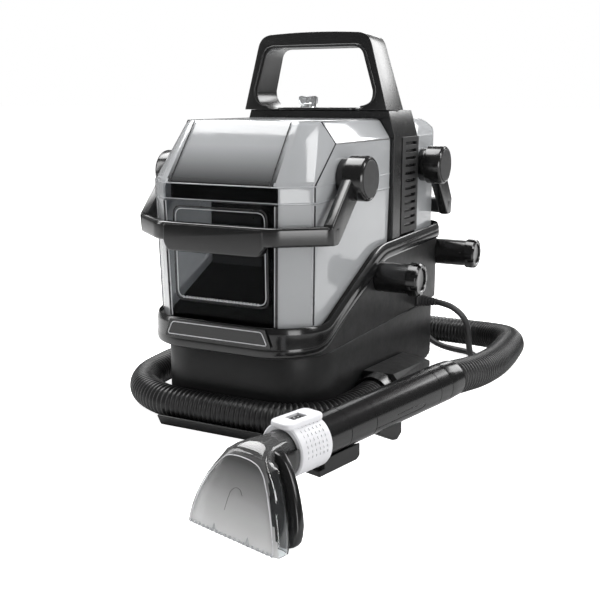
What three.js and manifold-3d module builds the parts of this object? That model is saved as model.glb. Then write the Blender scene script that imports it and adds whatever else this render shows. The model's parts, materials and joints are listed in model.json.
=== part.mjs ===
// Portable carpet and upholstery cleaner with two lift-off tanks, a suction hose and a hand tool.
// Millimetres, +Z up, origin at the centre of the base's underside, -Y is the machine's front.
import * as THREE from "three";
import { mergeVertices } from "three/addons/utils/BufferGeometryUtils.js";
import { ConvexGeometry } from "three/addons/geometries/ConvexGeometry.js";
import Module from "manifold-3d";

const wasm = await Module();
wasm.setup();

// ---------------------------------------------------------------- driving dimensions
const GAP = 0.3;                       // clearance between touching pieces
const WALL = 3;                        // housing wall
const CLEAR_WALL = 2.6;                // tank wall

// Plan outlines: half width, front and rear faces, front and rear corner radii.
const TUB = { half: 96, front: -170, rear: 197, corner: 50, rearCorner: 30, top: 79.7 };
const HOUSING = { half: 98, front: -187, rear: 204, corner: 54, rearCorner: 30, bottom: 80 };
const RIM = { half: 102, front: -190, rear: 208, corner: 58, rearCorner: 36 };
// Side lines (y, z): the tanks' deck, and the belt's upper and lower edges.
const DECK_LINE = [[-210, 107], [-137, 107], [-17, 165], [2, 169.5], [210, 169.5]];
const RIM_TOP = [[-210, 112], [-140, 112], [-17, 169], [2, 173], [210, 176.5]];
const RIM_BOTTOM = [[-210, 80.5], [-150, 83], [-122, 99], [-12, 150], [4, 154.5], [210, 158.5]];

const TOWER = { front: 32, flangeRear: 54, rear: 109, half: 97, top: 318, bottom: 169.8 };
const HANDLE = { front: 21.5, rearLow: 74, rearHigh: 60 };

const KNOB = [-12, 33];

const TANK = { half: 93.4, shoulder: 287.6, roofHalf: 79, roof: 309.5, draft: 3 };
const FRONT_TANK = { front: -183, rear: 31, nose: 65.5, cheek: -157.6, split: 231.5, waist: 249 };
const REAR_TANK = { front: 110.3, rear: 194, bottom: 170, roof: 307, corner: 30 };

const PIVOT_Z = 252.8;                 // both bails turn at this height
const FRONT_PIVOT_Y = -95.3;
const REAR_PIVOT_Y = 130.7;
const BOSS = { r: 20, inner: 93.75, outer: 102.1, pinR: 7, pinEnd: 117 };
const HUB = { r: 22.7, inner: 102.5, outer: 123.8, recessR: 19.4, recess: 2 };
const ARM = { inner: 102.5, outer: 113.5 };

const POST = { r: 16.5, capR: 18.8, capStart: 136, end: 149, z: 138, ys: [-10, 190] };
const HOSE = { r: 17, sides: 12, steps: 42 };
const PORT = [118, 20.6];              // hose socket centre, x and z
const CORD = { r: 3.75, sides: 8, steps: 44 };
const COIL = { x: -130, y: 336, midR: 46.25, layers: 4, columns: 4, lift: 1.8 };
const PLUG = { reach: 36.6, z: 9 };    // from the coil's centre line to the plug's cord end

const BUTTON = { centre: [60, 122], r: 11 };

const WAND = { x: 165, y: -297, z: 55, yaw: -14.77, pitch: 2, r: 18.5, rear: 199 };

// ---------------------------------------------------------------- solids from three.js geometry
function toSolid(geometry) {
  const bare = geometry.clone();
  for (const name of Object.keys(bare.attributes)) {
    if (name !== "position") bare.deleteAttribute(name);
  }
  const merged = mergeVertices(bare, 1e-3);
  const index = merged.index.array;
  const triangles = [];
  for (let i = 0; i < index.length; i += 3) {
    const [a, b, c] = [index[i], index[i + 1], index[i + 2]];
    if (a !== b && b !== c && c !== a) triangles.push(a, b, c);
  }
  const mesh = new wasm.Mesh({
    numProp: 3,
    vertProperties: Float32Array.from(merged.attributes.position.array),
    triVerts: Uint32Array.from(triangles),
  });
  return new wasm.Manifold(mesh);
}

function toGeometry(solid) {
  const mesh = solid.getMesh();
  const geometry = new THREE.BufferGeometry();
  geometry.setAttribute("position", new THREE.BufferAttribute(Float32Array.from(mesh.vertProperties), 3));
  geometry.setIndex(new THREE.BufferAttribute(Uint32Array.from(mesh.triVerts), 1));
  geometry.computeVertexNormals();
  return geometry;
}

const polygon = (points) => new THREE.Shape(points.map(([u, v]) => new THREE.Vector2(u, v)));

// A rectangle with corners of radius r at y0 and far at y1.
function roundedOutline(x0, x1, y0, y1, r, far = r) {
  const shape = new THREE.Shape();
  shape.absarc(x1 - far, y1 - far, far, 0, Math.PI / 2, false);
  shape.absarc(x0 + far, y1 - far, far, Math.PI / 2, Math.PI, false);
  shape.absarc(x0 + r, y0 + r, r, Math.PI, 1.5 * Math.PI, false);
  shape.absarc(x1 - r, y0 + r, r, 1.5 * Math.PI, 2 * Math.PI, false);
  return shape;
}

function extruded(shape, depth, segments) {
  return new THREE.ExtrudeGeometry(shape, { depth, bevelEnabled: false, curveSegments: segments });
}

// A plan (x, y) outline raised from z0 to z1.
function prismZ(shape, z0, z1, segments = 6) {
  return toSolid(extruded(shape, z1 - z0, segments).translate(0, 0, z0));
}

// A side (y, z) outline run from x0 to x1.
function prismX(shape, x0, x1, segments = 6) {
  const turn = new THREE.Matrix4().set(0, 0, 1, x0, 1, 0, 0, 0, 0, 1, 0, 0, 0, 0, 0, 1);
  return toSolid(extruded(shape, x1 - x0, segments).applyMatrix4(turn));
}

// A front (x, z) outline run from y0 to y1.
function prismY(shape, y0, y1, segments = 6) {
  const turn = new THREE.Matrix4().set(1, 0, 0, 0, 0, 0, -1, y1, 0, 1, 0, 0, 0, 0, 0, 1);
  return toSolid(extruded(shape, y1 - y0, segments).applyMatrix4(turn));
}

function box(x0, x1, y0, y1, z0, z1) {
  const geometry = new THREE.BoxGeometry(x1 - x0, y1 - y0, z1 - z0);
  return toSolid(geometry.translate((x0 + x1) / 2, (y0 + y1) / 2, (z0 + z1) / 2));
}

// A cylinder or cone along one axis, from start to end on that axis.
function rod(axis, start, end, centre, r0, r1 = r0, sides = 24) {
  const geometry = new THREE.CylinderGeometry(r1, r0, end - start, sides);
  const [u, v] = centre;
  if (axis === "x") {
    geometry.rotateZ(-Math.PI / 2).translate((start + end) / 2, u, v);
  } else if (axis === "y") {
    geometry.translate(u, (start + end) / 2, v);
  } else {
    geometry.rotateX(Math.PI / 2).translate(u, v, (start + end) / 2);
  }
  return toSolid(geometry);
}

const hull = (points) => toSolid(new ConvexGeometry(points.map((p) => new THREE.Vector3(...p))));
const union = (solids) => solids.reduce((a, b) => a.add(b));
const bothSides = (points) => points.flatMap(([x, y, z]) => [[x, y, z], [-x, y, z]]);

const group = new THREE.Group();

function piece(name, solid, color, roughness, metalness = 0, parent = group) {
  const geometry = solid instanceof THREE.BufferGeometry ? solid : toGeometry(solid);
  const mesh = new THREE.Mesh(geometry, new THREE.MeshStandardMaterial({ color, roughness, metalness }));
  mesh.name = name;
  parent.add(mesh);
  return mesh;
}

const CHARCOAL = 0x2c2d2e;
const BLACK = 0x141415;
const GLOSS = 0x0b0b0c;
const CLEAR = 0xb9bfc2;
const WHITE = 0xdadcdc;
const RUBBER = 0x1b1b1c;
const STEEL = 0x8d9196;

// ---------------------------------------------------------------- base and housing
function underLine(line, floor) {
  const points = line.map(([y, z]) => [y, z]);
  return polygon([[line[0][0], floor], [line[line.length - 1][0], floor], ...points.reverse()]);
}

// The plan outline of a housing ring, drawn in by t (out where t is negative).
function ringOutline({ half, front, rear, corner, rearCorner }, t) {
  return roundedOutline(t - half, half - t, front + t, rear - t, corner - t, rearCorner - t);
}

function base() {
  const inside = prismZ(ringOutline(TUB, WALL), 0, TUB.top + 1);
  piece("base_tub", prismZ(ringOutline(TUB, 0), 1.5, TUB.top).subtract(inside), CHARCOAL, 0.6);
  const feet = { foot_fl: [-66, -130], foot_fr: [66, -130], foot_rl: [-66, 152], foot_rr: [66, 152] };
  let pan = prismZ(ringOutline(TUB, WALL + GAP), 0, 4);
  for (const [name, centre] of Object.entries(feet)) {
    pan = pan.subtract(rod("z", -1, 5, centre, 11 + GAP, 11 + GAP, 20));
    piece(name, rod("z", 0, 6, centre, 11, 11, 20), RUBBER, 0.85);
  }
  piece("base_pan", pan, CHARCOAL, 0.7);
}

function housing() {
  const { bottom } = HOUSING;
  const underDeck = prismX(underLine(DECK_LINE, 0), -150, 150);
  const underCeiling = prismX(underLine(DECK_LINE.map(([y, z]) => [y, z - WALL]), 0), -150, 150);
  const shell = prismZ(ringOutline(HOUSING, 0), bottom, 260).intersect(underDeck);
  const cavity = prismZ(ringOutline(HOUSING, WALL), bottom - 1, 260).intersect(underCeiling);
  const buttonHole = rod("x", -120, -90, BUTTON.centre, BUTTON.r + GAP);
  piece("upper_housing", shell.subtract(cavity).subtract(buttonHole), CHARCOAL, 0.55);

  const band = polygon([...RIM_BOTTOM, ...[...RIM_TOP].reverse()]);
  const post = rod("x", 80, 150, [POST.ys[0], POST.z], POST.r + GAP);
  const rim = prismZ(ringOutline(RIM, 0), 60, 200).intersect(prismX(band, -150, 150))
    .subtract(prismZ(ringOutline(HOUSING, -GAP), 50, 210)).subtract(post);
  piece("housing_rim", rim, GLOSS, 0.2);

  const plate = polygon([[-62.7, 92.5], [62.7, 92.5], [55.6, 111.5], [-55.6, 111.5]]);
  piece("name_plate", prismY(plate, RIM.front - GAP - 2, RIM.front - GAP), GLOSS, 0.25);
}

function cradles() {
  const profile = polygon([
    [-170.4, 0.3], [-205, 0.3], [-211, 11.5], [-208.8, 12.5], [-203.6, 2.6], [-176, 2.6], [-170.4, 10],
  ]);
  piece("front_hose_cradle", prismX(profile, -62, 62), CHARCOAL, 0.6);
  const rear = polygon([[197.4, 0.3], [216, 0.3], [213, 8], [197.4, 14]]);
  piece("rear_cradle", prismX(rear, -50, 50), CHARCOAL, 0.6);
}

function hosePort() {
  const fairing = hull([
    [98.4, 138, 0.5], [98.4, 138, 8], [110, 134, 0.5], [110, 134, 6],
    [98.4, 68, 32], [128, 60, 26], [128, 60, 0.5],
    [98.4, -50, 0.5], [98.4, -50, 40], [134, -50, 40], [139, -50, 34], [139, -50, 0.5],
  ]);
  piece("hose_port", fairing, CHARCOAL, 0.5);
  const cuff = rod("y", -72, -50.3, PORT, 20.3).subtract(rod("y", -73, -58, PORT, HOSE.r + 0.8));
  piece("hose_cuff", cuff, BLACK, 0.45);
}

function wrapPosts() {
  const sides = ["front", "rear"];
  POST.ys.forEach((y, i) => {
    const post = rod("x", 72, POST.capStart - GAP, [y, POST.z], POST.r)
      .subtract(prismZ(ringOutline(HOUSING, -GAP), 60, 220));
    piece(`wrap_post_${sides[i]}`, post, BLACK, 0.45);
    let cap = rod("x", POST.capStart, POST.end, [y, POST.z], POST.capR, POST.capR - 1.5);
    for (let k = 0; k < 8; k += 1) {
      const angle = (k + 0.5) * (Math.PI / 4);
      const notch = new THREE.BoxGeometry(8, 4, 7).translate(POST.end - 2.5, POST.capR, 0).rotateX(angle);
      cap = cap.subtract(toSolid(notch.translate(0, y, POST.z)));
    }
    cap = cap.subtract(rod("x", POST.end - 2, POST.end + 1, [y, POST.z], 12.5));
    piece(`wrap_cap_${sides[i]}`, cap, GLOSS, 0.25);
  });
}

function powerButton() {
  piece("power_button", rod("x", -102.5, -93, BUTTON.centre, BUTTON.r), 0x3a3b3d, 0.5);
}

// ---------------------------------------------------------------- working parts in the base
function machinery() {
  const axis = [0, 95];
  const shaft = rod("z", 90, 123, axis, 3.9, 3.9, 16);
  const can = rod("z", 12, 96, axis, 46, 46, 28).add(rod("z", 95, 104, axis, 9, 9, 16)).add(shaft);
  piece("vacuum_motor", can, STEEL, 0.45, 0.7);
  let fan = rod("z", 107, 110, axis, 42, 42, 28).add(rod("z", 107, 124, axis, 12, 12, 16));
  for (let k = 0; k < 7; k += 1) {
    const blade = new THREE.BoxGeometry(30, 2, 12).translate(26, 0, 116).rotateZ((k / 7) * 2 * Math.PI);
    fan = fan.add(toSolid(blade.translate(axis[0], axis[1], 0)));
  }
  piece("vacuum_fan", fan.subtract(rod("z", 100, 130, axis, 4, 4, 16)), 0xb8bab8, 0.5);
  const pump = box(-70, -26, -110, -40, 4.4, 48).subtract(rod("y", -130, -100, [-48, 28], 9));
  piece("water_pump", pump, 0x5a5c5f, 0.6);
  piece("pump_plunger", rod("y", -134, -107, [-48, 28], 8.4, 8.4, 20), 0xcfd0cc, 0.4);
}

// ---------------------------------------------------------------- tower, vents, handle
function towerOutline(half, top, bottom) {
  const shoulder = 291 - (TOWER.top - top);
  return polygon([
    [-half, bottom], [half, bottom], [half, shoulder], [half - 8, top], [8 - half, top], [-half, shoulder],
  ]);
}

function tower() {
  const t = TOWER;
  const flange = prismY(towerOutline(t.half, t.top, t.bottom), t.front, t.flangeRear);
  const core = prismY(towerOutline(t.half - 2.5, t.top, t.bottom), t.flangeRear - 1, t.rear);
  const hollow = towerOutline(t.half - 2.5 - WALL, t.top - WALL, t.bottom - 5);
  const shell = flange.add(core).subtract(prismY(hollow, t.front + WALL, t.rear - WALL));
  piece("tower_housing", shell, BLACK, 0.5);

  for (const [name, side] of [["vent_grille_r", 1], ["vent_grille_l", -1]]) {
    const inner = side * (t.half - 2.5 + GAP);
    const outer = side * (t.half + 0.6);
    let grille = box(Math.min(inner, outer), Math.max(inner, outer), 56, 107, 176.5, 288);
    const slots = 12;
    for (let k = 0; k < slots; k += 1) {
      const z = 184 + k * 8.6;
      grille = grille.subtract(box(side > 0 ? 90 : -110, side > 0 ? 110 : -90, 66, 100, z, z + 3.4));
    }
    piece(name, grille, RUBBER, 0.7);
  }

  const deck = prismZ(roundedOutline(-50, 50, HANDLE.front, 84, 10), t.top + GAP, t.top + 3);
  piece("tower_deck", deck, BLACK, 0.4);
}

function carryHandle() {
  const foot = TOWER.top + GAP;
  const arch = new THREE.Shape();
  arch.moveTo(-91, foot);
  arch.lineTo(-71.5, 390);
  arch.quadraticCurveTo(-68.6, 402, -57, 403);
  arch.quadraticCurveTo(0, 406.5, 57, 403);
  arch.quadraticCurveTo(68.6, 402, 71.5, 390);
  arch.lineTo(91, foot);
  arch.lineTo(51, foot);
  arch.quadraticCurveTo(76, 320, 73, 342);
  arch.lineTo(62, 380);
  arch.quadraticCurveTo(59.5, 387.5, 50, 388);
  arch.lineTo(-50, 388);
  arch.quadraticCurveTo(-59.5, 387.5, -62, 380);
  arch.lineTo(-73, 342);
  arch.quadraticCurveTo(-76, 320, -51, foot);
  const h = HANDLE;
  const side = polygon([[h.front, 300], [h.rearLow, 300], [h.rearHigh, 410], [h.front, 410]]);
  const handle = prismY(arch, h.front, 90, 6).intersect(prismX(side, -100, 100));
  piece("carry_handle", handle, BLACK, 0.45);

  const knob = rod("z", TOWER.top + 3 + GAP, 331.5, KNOB, 9, 9, 16).add(rod("z", 325, 334, KNOB, 11, 11, 16));
  piece("release_knob", knob, CLEAR, 0.15);
}

// ---------------------------------------------------------------- tanks
// Upper half of the front tank, from height z0 up, drawn in from its outer faces by t.
function frontTankTop(t, z0) {
  const f = FRONT_TANK;
  const half = TANK.half - t;
  return hull(bothSides([
    [f.nose - t * 0.5, f.front + t, z0], [half, f.cheek + t * 0.5, z0], [half, f.rear - t, z0],
    [f.nose - t * 0.5, f.front + t, f.waist], [half, f.cheek + t * 0.5, f.waist],
    [half, -112 + t, TANK.shoulder - t * 0.5], [half, f.rear - t, TANK.shoulder - t * 0.5],
    [TANK.roofHalf - t * 0.6, -116 + t, TANK.roof - t], [TANK.roofHalf - t * 0.6, f.rear - t, TANK.roof - t],
    [63.6 - t * 0.5, -135 + t, TANK.roof - t],
  ]));
}

// Lower half: tapers downwards and stands on the sloped deck.
function frontTankLower(t, z1, lift) {
  const f = FRONT_TANK;
  const low = 100;
  const half = TANK.half - t;
  const body = hull(bothSides([
    [f.nose - t * 0.5, f.front + t, z1], [half, f.cheek + t * 0.5, z1], [half, f.rear - t, z1],
    [f.nose - t * 0.5 - TANK.draft, f.front + t + TANK.draft, low],
    [half - TANK.draft, f.cheek + t * 0.5 + TANK.draft, low],
    [half - TANK.draft, f.rear - t, low],
  ]));
  const under = underLine(DECK_LINE.map(([y, z]) => [y, z + lift]), 0);
  return body.subtract(prismX(under, -150, 150));
}

function frontTank() {
  const f = FRONT_TANK;
  const c = CLEAR_WALL;
  const lower = frontTankLower(0, f.split, 0.5).subtract(frontTankLower(c, f.split + 1, 0.5 + c));
  piece("front_tank", lower, CLEAR, 0.1);

  const frameOuter = roundedOutline(-62, 62, -178.5, 26, 6);
  const frameInner = roundedOutline(-56, 56, -172.5, 20, 4);
  const gasket = prismZ(frameOuter, f.split + GAP + 1, f.waist - 1, 3)
    .subtract(prismZ(frameInner, 200, 260, 3));
  piece("front_tank_gasket", gasket, RUBBER, 0.7);

  const lid = frontTankTop(0, f.split + GAP).subtract(frontTankTop(c, f.split - 1));
  piece("front_tank_lid", lid, CLEAR, 0.1);

  // Intake column on the tank's left, with the float's guide stem beside it.
  const slab = DECK_LINE.map(([y, z]) => [y, z + 0.5 + c + GAP]);
  const column = box(-87, -22, -62, 27, 120, 229).add(box(-23, 30, 10, 24, 175, 215));
  const stem = rod("z", 150, 229, [30, -20], 4, 4, 16).add(box(-23, 30, -22, -18, 178, 184));
  const collar = rod("z", 182, 188, [30, -20], 8, 8, 16);
  const riser = column.add(stem).add(collar).subtract(prismX(underLine(slab, 0), -150, 150));
  piece("tank_riser", riser, BLACK, 0.5);
  const guide = rod("z", 180, 220, [30, -20], 4.5, 4.5, 16);
  piece("tank_float", rod("z", 188.4, 208, [30, -20], 15, 15, 20).subtract(guide), WHITE, 0.5);
}

function rearTankBody(t) {
  const r = REAR_TANK;
  const half = TANK.half - t;
  const front = polygon([
    [-half + TANK.draft * 0.5, r.bottom + t], [half - TANK.draft * 0.5, r.bottom + t], [half, PIVOT_Z],
    [half, TANK.shoulder - t * 0.5], [TANK.roofHalf - t * 0.6, r.roof - t],
    [-TANK.roofHalf + t * 0.6, r.roof - t], [-half, TANK.shoulder - t * 0.5], [-half, PIVOT_Z],
  ]);
  const side = new THREE.Shape();
  side.moveTo(r.front + t, r.bottom + t);
  side.lineTo(r.rear - 4 - t, r.bottom + t);
  side.lineTo(r.rear - t, 262);
  side.quadraticCurveTo(r.rear - t - 3, r.roof - t - 2, r.rear - 36, r.roof - t);
  side.lineTo(r.front + t, r.roof - t);
  const plan = roundedOutline(-half, half, r.front - 100, r.rear - t, r.corner - t);
  return prismY(front, r.front + t, r.rear - t)
    .intersect(prismX(side, -100, 100))
    .intersect(prismZ(plan, 100, 350));
}

const FILL = { x: 0, z: 258, r: 12 };

function rearTank() {
  const r = REAR_TANK;
  const neck = rod("y", r.rear - 12, r.rear + 20, [FILL.x, FILL.z], FILL.r, FILL.r, 20);
  piece("rear_tank", rearTankBody(0).subtract(rearTankBody(CLEAR_WALL)).subtract(neck), CLEAR, 0.1);
  const cap = rod("y", r.rear + GAP, r.rear + 6, [FILL.x, FILL.z], 16, 15, 20)
    .add(rod("y", r.rear - 6, r.rear + 1, [FILL.x, FILL.z], FILL.r - GAP, FILL.r - GAP, 20))
    .add(box(-11, 11, r.rear + 5, r.rear + 7, FILL.z - 2.5, FILL.z + 2.5));
  piece("rear_fill_cap", cap, BLACK, 0.5);
  const valve = rod("z", 173, 186, [40, 148], 9, 7, 20);
  piece("rear_tank_valve", valve, BLACK, 0.5);
}

// ---------------------------------------------------------------- bails and their pivots
function pivots(prefix, y) {
  for (const [tag, side] of [["r", 1], ["l", -1]]) {
    const span = (a, b) => (side > 0 ? [a, b] : [-b, -a]);
    const [b0, b1] = span(BOSS.inner, BOSS.outer);
    const [p0, p1] = span(BOSS.outer - 1, BOSS.pinEnd);
    const pin = rod("x", p0, p1, [y, PIVOT_Z], BOSS.pinR, BOSS.pinR, 20);
    piece(`${prefix}_boss_${tag}`, rod("x", b0, b1, [y, PIVOT_Z], BOSS.r).add(pin), BLACK, 0.45);
    const [c0, c1] = span(HUB.outer - HUB.recess + GAP, HUB.outer + 0.4);
    piece(`${prefix}_bail_cap_${tag}`, rod("x", c0, c1, [y, PIVOT_Z], HUB.recessR - GAP), CHARCOAL, 0.5);
  }
}

// A U of flat bar: hubs on the pivots, arms, and a grip bar across one face of the tank.
function bail(name, pivotY, facing, grip) {
  const at = (d) => pivotY + facing * d;
  const parts = [];
  const plan = [
    [-66.1, at(grip.far)], [66.1, at(grip.far)], [109.5, at(grip.cheek)], [ARM.outer, at(grip.cheek - 6)],
    [ARM.outer, at(grip.cheek - 13)], [ARM.inner, at(grip.cheek - 13)], [ARM.inner, at(grip.cheek - 7.6)],
    [61.5, at(grip.far - 12)], [-61.5, at(grip.far - 12)],
    [-ARM.inner, at(grip.cheek - 7.6)], [-ARM.inner, at(grip.cheek - 13)],
    [-ARM.outer, at(grip.cheek - 13)], [-ARM.outer, at(grip.cheek - 6)], [-109.5, at(grip.cheek)],
  ];
  parts.push(prismZ(polygon(facing < 0 ? plan : plan.reverse()), grip.low, grip.low + 19));
  const [g0, g1] = [at(grip.far), at(grip.far - 12.5)].sort((a, b) => a - b);
  parts.push(box(-58, 58, g0, g1, grip.low - 10, grip.low + 18));
  for (const side of [1, -1]) {
    const [x0, x1] = side > 0 ? [ARM.inner, ARM.outer] : [-ARM.outer, -ARM.inner];
    const arm = [
      [at(grip.cheek), grip.low], [at(grip.cheek - 13), grip.low], [at(6), PIVOT_Z - 20],
      [at(22), PIVOT_Z + 2], [at(grip.cheek + 2), grip.low + 19],
    ];
    parts.push(prismX(polygon(facing < 0 ? arm.reverse() : arm), x0, x1));
    const [h0, h1] = side > 0 ? [HUB.inner, HUB.outer] : [-HUB.outer, -HUB.inner];
    parts.push(rod("x", h0, h1, [pivotY, PIVOT_Z], HUB.r));
  }
  let solid = union(parts);
  for (const side of [1, -1]) {
    const bore = side > 0 ? [HUB.inner - 1, BOSS.pinEnd + GAP] : [-BOSS.pinEnd - GAP, 1 - HUB.inner];
    const recess = side > 0 ? [HUB.outer - HUB.recess, 130] : [-130, HUB.recess - HUB.outer];
    const boreR = BOSS.pinR + 0.1;
    solid = solid.subtract(rod("x", bore[0], bore[1], [pivotY, PIVOT_Z], boreR, boreR, 20));
    solid = solid.subtract(rod("x", recess[0], recess[1], [pivotY, PIVOT_Z], HUB.recessR));
  }
  piece(name, solid, BLACK, 0.4);
}

// ---------------------------------------------------------------- hose and power lead
const HOSE_ROUTE = [
  [118, -59, 20.6], [118, -80, 20.4], [118, -102, 20], [116, -120, 20], [110.7, -146.8, 20],
  [95.5, -169.5, 20], [72.8, -184.7, 20], [46, -189.4, 20], [15, -189.8, 20], [-20, -189.8, 20],
  [-66, -186.5, 20], [-108, -165, 20], [-136, -125, 20], [-145, -75, 20],
  [-146, -10, 20], [-146, 60, 20], [-144, 130, 20], [-132, 178, 20], [-104, 218, 20], [-62, 242, 20],
  [-10, 248, 20], [50, 248, 20], [105, 243, 21], [152, 226, 25], [188, 195, 31], [207, 150, 37],
  [216, 100, 42], [222, 50, 46], [226, 0, 51], [225, -50, 56], [216.5, -103.5, 61.8],
];

const CORD_ROUTE = [
  [123, 116, 87], [130, 116, 86], [140, 118, 83], [150, 121, 76], [157, 125, 66],
  [160, 129, 53], [160, 132, 40], [160, 137, 27], [160, 144, 17], [159, 155, 9],
  [158, 170, 5], [154, 183, 5], [146, 194, 5], [134, 202, 5], [119, 206, 5],
  [101, 208, 7], [84, 213, 12], [66, 222, 23], [48, 231, 34], [28, 240, 41],
  [8, 247, 44], [-20, 255.5, 41], [-48, 264, 36], [-76, 270.5, 31.5], [-105, 274, 29.8],
];

function tube(route, radius, sides, steps) {
  const curve = new THREE.CatmullRomCurve3(route.map((p) => new THREE.Vector3(...p)), false, "centripetal");
  const section = new THREE.Shape();
  for (let k = 0; k < sides; k += 1) {
    const angle = (k / sides) * 2 * Math.PI;
    const corner = new THREE.Vector2(radius * Math.cos(angle), radius * Math.sin(angle));
    if (k === 0) section.moveTo(corner.x, corner.y);
    else section.lineTo(corner.x, corner.y);
  }
  return toSolid(new THREE.ExtrudeGeometry(section, { steps, bevelEnabled: false, extrudePath: curve }));
}

function hoseAndLead() {
  piece("suction_hose", tube(HOSE_ROUTE, HOSE.r, HOSE.sides, HOSE.steps), RUBBER, 0.75);
  piece("cord_strain_relief", rod("x", HOUSING.half + GAP, 122.5, [116, 87], 8, 4.6, 16), RUBBER, 0.7);
  piece("power_cord", tube(CORD_ROUTE, CORD.r, CORD.sides, CORD.steps), RUBBER, 0.6);

  const width = COIL.columns * 2 * CORD.r;
  const height = COIL.layers * 2 * CORD.r;
  const [r0, r1] = [COIL.midR - width / 2, COIL.midR + width / 2];
  const corners = [[r0, 0], [r1, 0], [r1, height], [r0, height], [r0, 0]];
  const ring = corners.map(([u, v]) => new THREE.Vector2(u, v));
  const coil = new THREE.LatheGeometry(ring, 32).rotateX(Math.PI / 2);
  const tailY = COIL.y + r1 - CORD.r;
  const tailZ = COIL.lift + CORD.r;
  const tail = tube([
    [COIL.x - 2, tailY, tailZ], [COIL.x + 12, tailY, tailZ + 0.4],
    [COIL.x + 26, tailY, PLUG.z - 0.3], [COIL.x + PLUG.reach - GAP, tailY, PLUG.z],
  ], CORD.r, CORD.sides, 6);
  const ringSolid = toSolid(coil.translate(COIL.x, COIL.y, COIL.lift));
  piece("cord_coil", ringSolid.add(tail), RUBBER, 0.6);

  const [t0, t1] = [r0 - 1, r1 + GAP];
  const top = COIL.lift + height + GAP;
  const tie = box(t0 - 1.2, t1 + 1.2, -5, 5, 0.2, top + 1.2)
    .subtract(box(t0, t1, -6, 6, COIL.lift - GAP, top));
  const turned = new THREE.Matrix4().makeRotationZ(Math.PI * 0.75).setPosition(COIL.x, COIL.y, 0);
  piece("cord_tie", toSolid(toGeometry(tie).applyMatrix4(turned)), BLACK, 0.6);

  const px = COIL.x + PLUG.reach;
  const py = tailY;
  const grip = rod("x", px, px + 24, [py, PLUG.z], 4.4, 6.5, 12);
  const body = hull([
    [px + 22, py - 8, 2], [px + 22, py + 8, 2], [px + 22, py - 8, 16], [px + 22, py + 8, 16],
    [px + 46, py - 13, 0.3], [px + 46, py + 13, 0.3], [px + 46, py - 13, 17.7], [px + 46, py + 13, 17.7],
    [px + 52, py - 13, 0.3], [px + 52, py + 13, 0.3], [px + 52, py - 13, 17.7], [px + 52, py + 13, 17.7],
  ]);
  const blades = [-6.35, 6.35].map((d) => box(px + 51, px + 69, py + d - 0.75, py + d + 0.75, 6, 12.4));
  piece("power_plug", union([grip, body, ...blades]), RUBBER, 0.55);
}

// ---------------------------------------------------------------- wand and nozzle
// Both are drawn about the collar's centre, +Y running back along the wand.
function placed(x, y, z, yaw, pitch) {
  const frame = new THREE.Group();
  frame.position.set(x, y, z);
  frame.rotation.set(THREE.MathUtils.degToRad(pitch), 0, THREE.MathUtils.degToRad(yaw), "ZXY");
  group.add(frame);
  return frame;
}

function wand() {
  const frame = placed(WAND.x, WAND.y, WAND.z, WAND.yaw, WAND.pitch);
  const w = WAND;
  const bore = rod("y", w.rear - 16, w.rear + 5, [0, 0], HOSE.r + 0.6);
  const slot = box(-7.3, 7.3, 72, 115, -30, -4);
  const body = rod("y", -2.6, 176.7, [0, 0], w.r - 0.8, w.r, 28).subtract(slot);
  piece("wand_body", body, GLOSS, 0.22, 0, frame);
  const cuff = rod("y", 177, w.rear, [0, 0], w.r, w.r - 1.4, 28).subtract(bore);
  piece("wand_end_cap", cuff, GLOSS, 0.25, 0, frame);
  const guardSide = polygon([
    [-2.5, -16], [-2.5, -24.6], [-9, -24.6], [-9, -30], [40, -30], [44, -27], [44, -16],
  ]);
  const guard = prismX(guardSide, -11, 11).subtract(rod("y", -15, 180, [0, 0], w.r + GAP, w.r + GAP, 28));
  piece("wand_guard", guard, BLACK, 0.4, 0, frame);
  const leverSide = polygon([[76, -10], [76, -20], [98, -32], [104, -33.5], [111, -28], [111, -10]]);
  piece("wand_trigger", prismX(leverSide, -7, 7), BLACK, 0.4, 0, frame);
}

function nozzle() {
  const frame = placed(WAND.x, WAND.y, WAND.z, WAND.yaw, 0);
  const floor = 0.4 - WAND.z;
  // Half-widths and front-face depths at each height, from the mouth up to the neck.
  const levels = [[0, 50.6, -100.3], [25, 44, -96], [60, 20, -84.3], [73, 13, -72]];
  const seam = (z) => -85 + 0.26 * z;
  const rearFace = (z) => -70 + 0.19 * z;
  const c = 2.2;
  const shell = hull(bothSides(levels.flatMap(([z, x, y]) => [[x, y, floor + z], [x, seam(z), floor + z]])));
  const hollow = hull(bothSides(levels.flatMap(([z, x, y]) => {
    const up = floor + z - c * (z / 73) * 1.2;
    return [[x - c, y + c, up], [x - c, seam(z) + 3, up]];
  })));
  const mouth = box(-48, 48, -97.5, -70, floor - 5, floor + 3);
  const neck = rod("y", -71, -8, [0, 2], 15.2, 15.2, 24).subtract(rod("y", -80, -7, [0, 2], 13, 13, 24));
  piece("nozzle_window", shell.subtract(hollow).subtract(mouth).add(neck), CLEAR, 0.1, 0, frame);

  const back = hull(bothSides(levels.flatMap(([z, x]) => {
    return [[x, seam(z) + GAP, floor + z], [x, rearFace(z), floor + z]];
  }))).subtract(rod("y", -100, -40, [0, 2], 15.5, 15.5, 24));
  piece("nozzle_back", back, GLOSS, 0.25, 0, frame);

  const ring = rod("y", -42, -4, [0, 0], 23, 22.4, 28).subtract(rod("y", -43, -3, [0, 1], 17.4, 17.4, 28));
  const collar = ring.add(box(-11, 11, -46, -3.4, 20.6, 24.6)).subtract(box(-5.3, 5.3, -33, -17, 10, 30));
  piece("nozzle_collar", collar, WHITE, 0.5, 0, frame);
  piece("nozzle_button", box(-5, 5, -32.7, -17.3, 18.6, 23.2), 0x55585a, 0.5, 0, frame);
}

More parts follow.
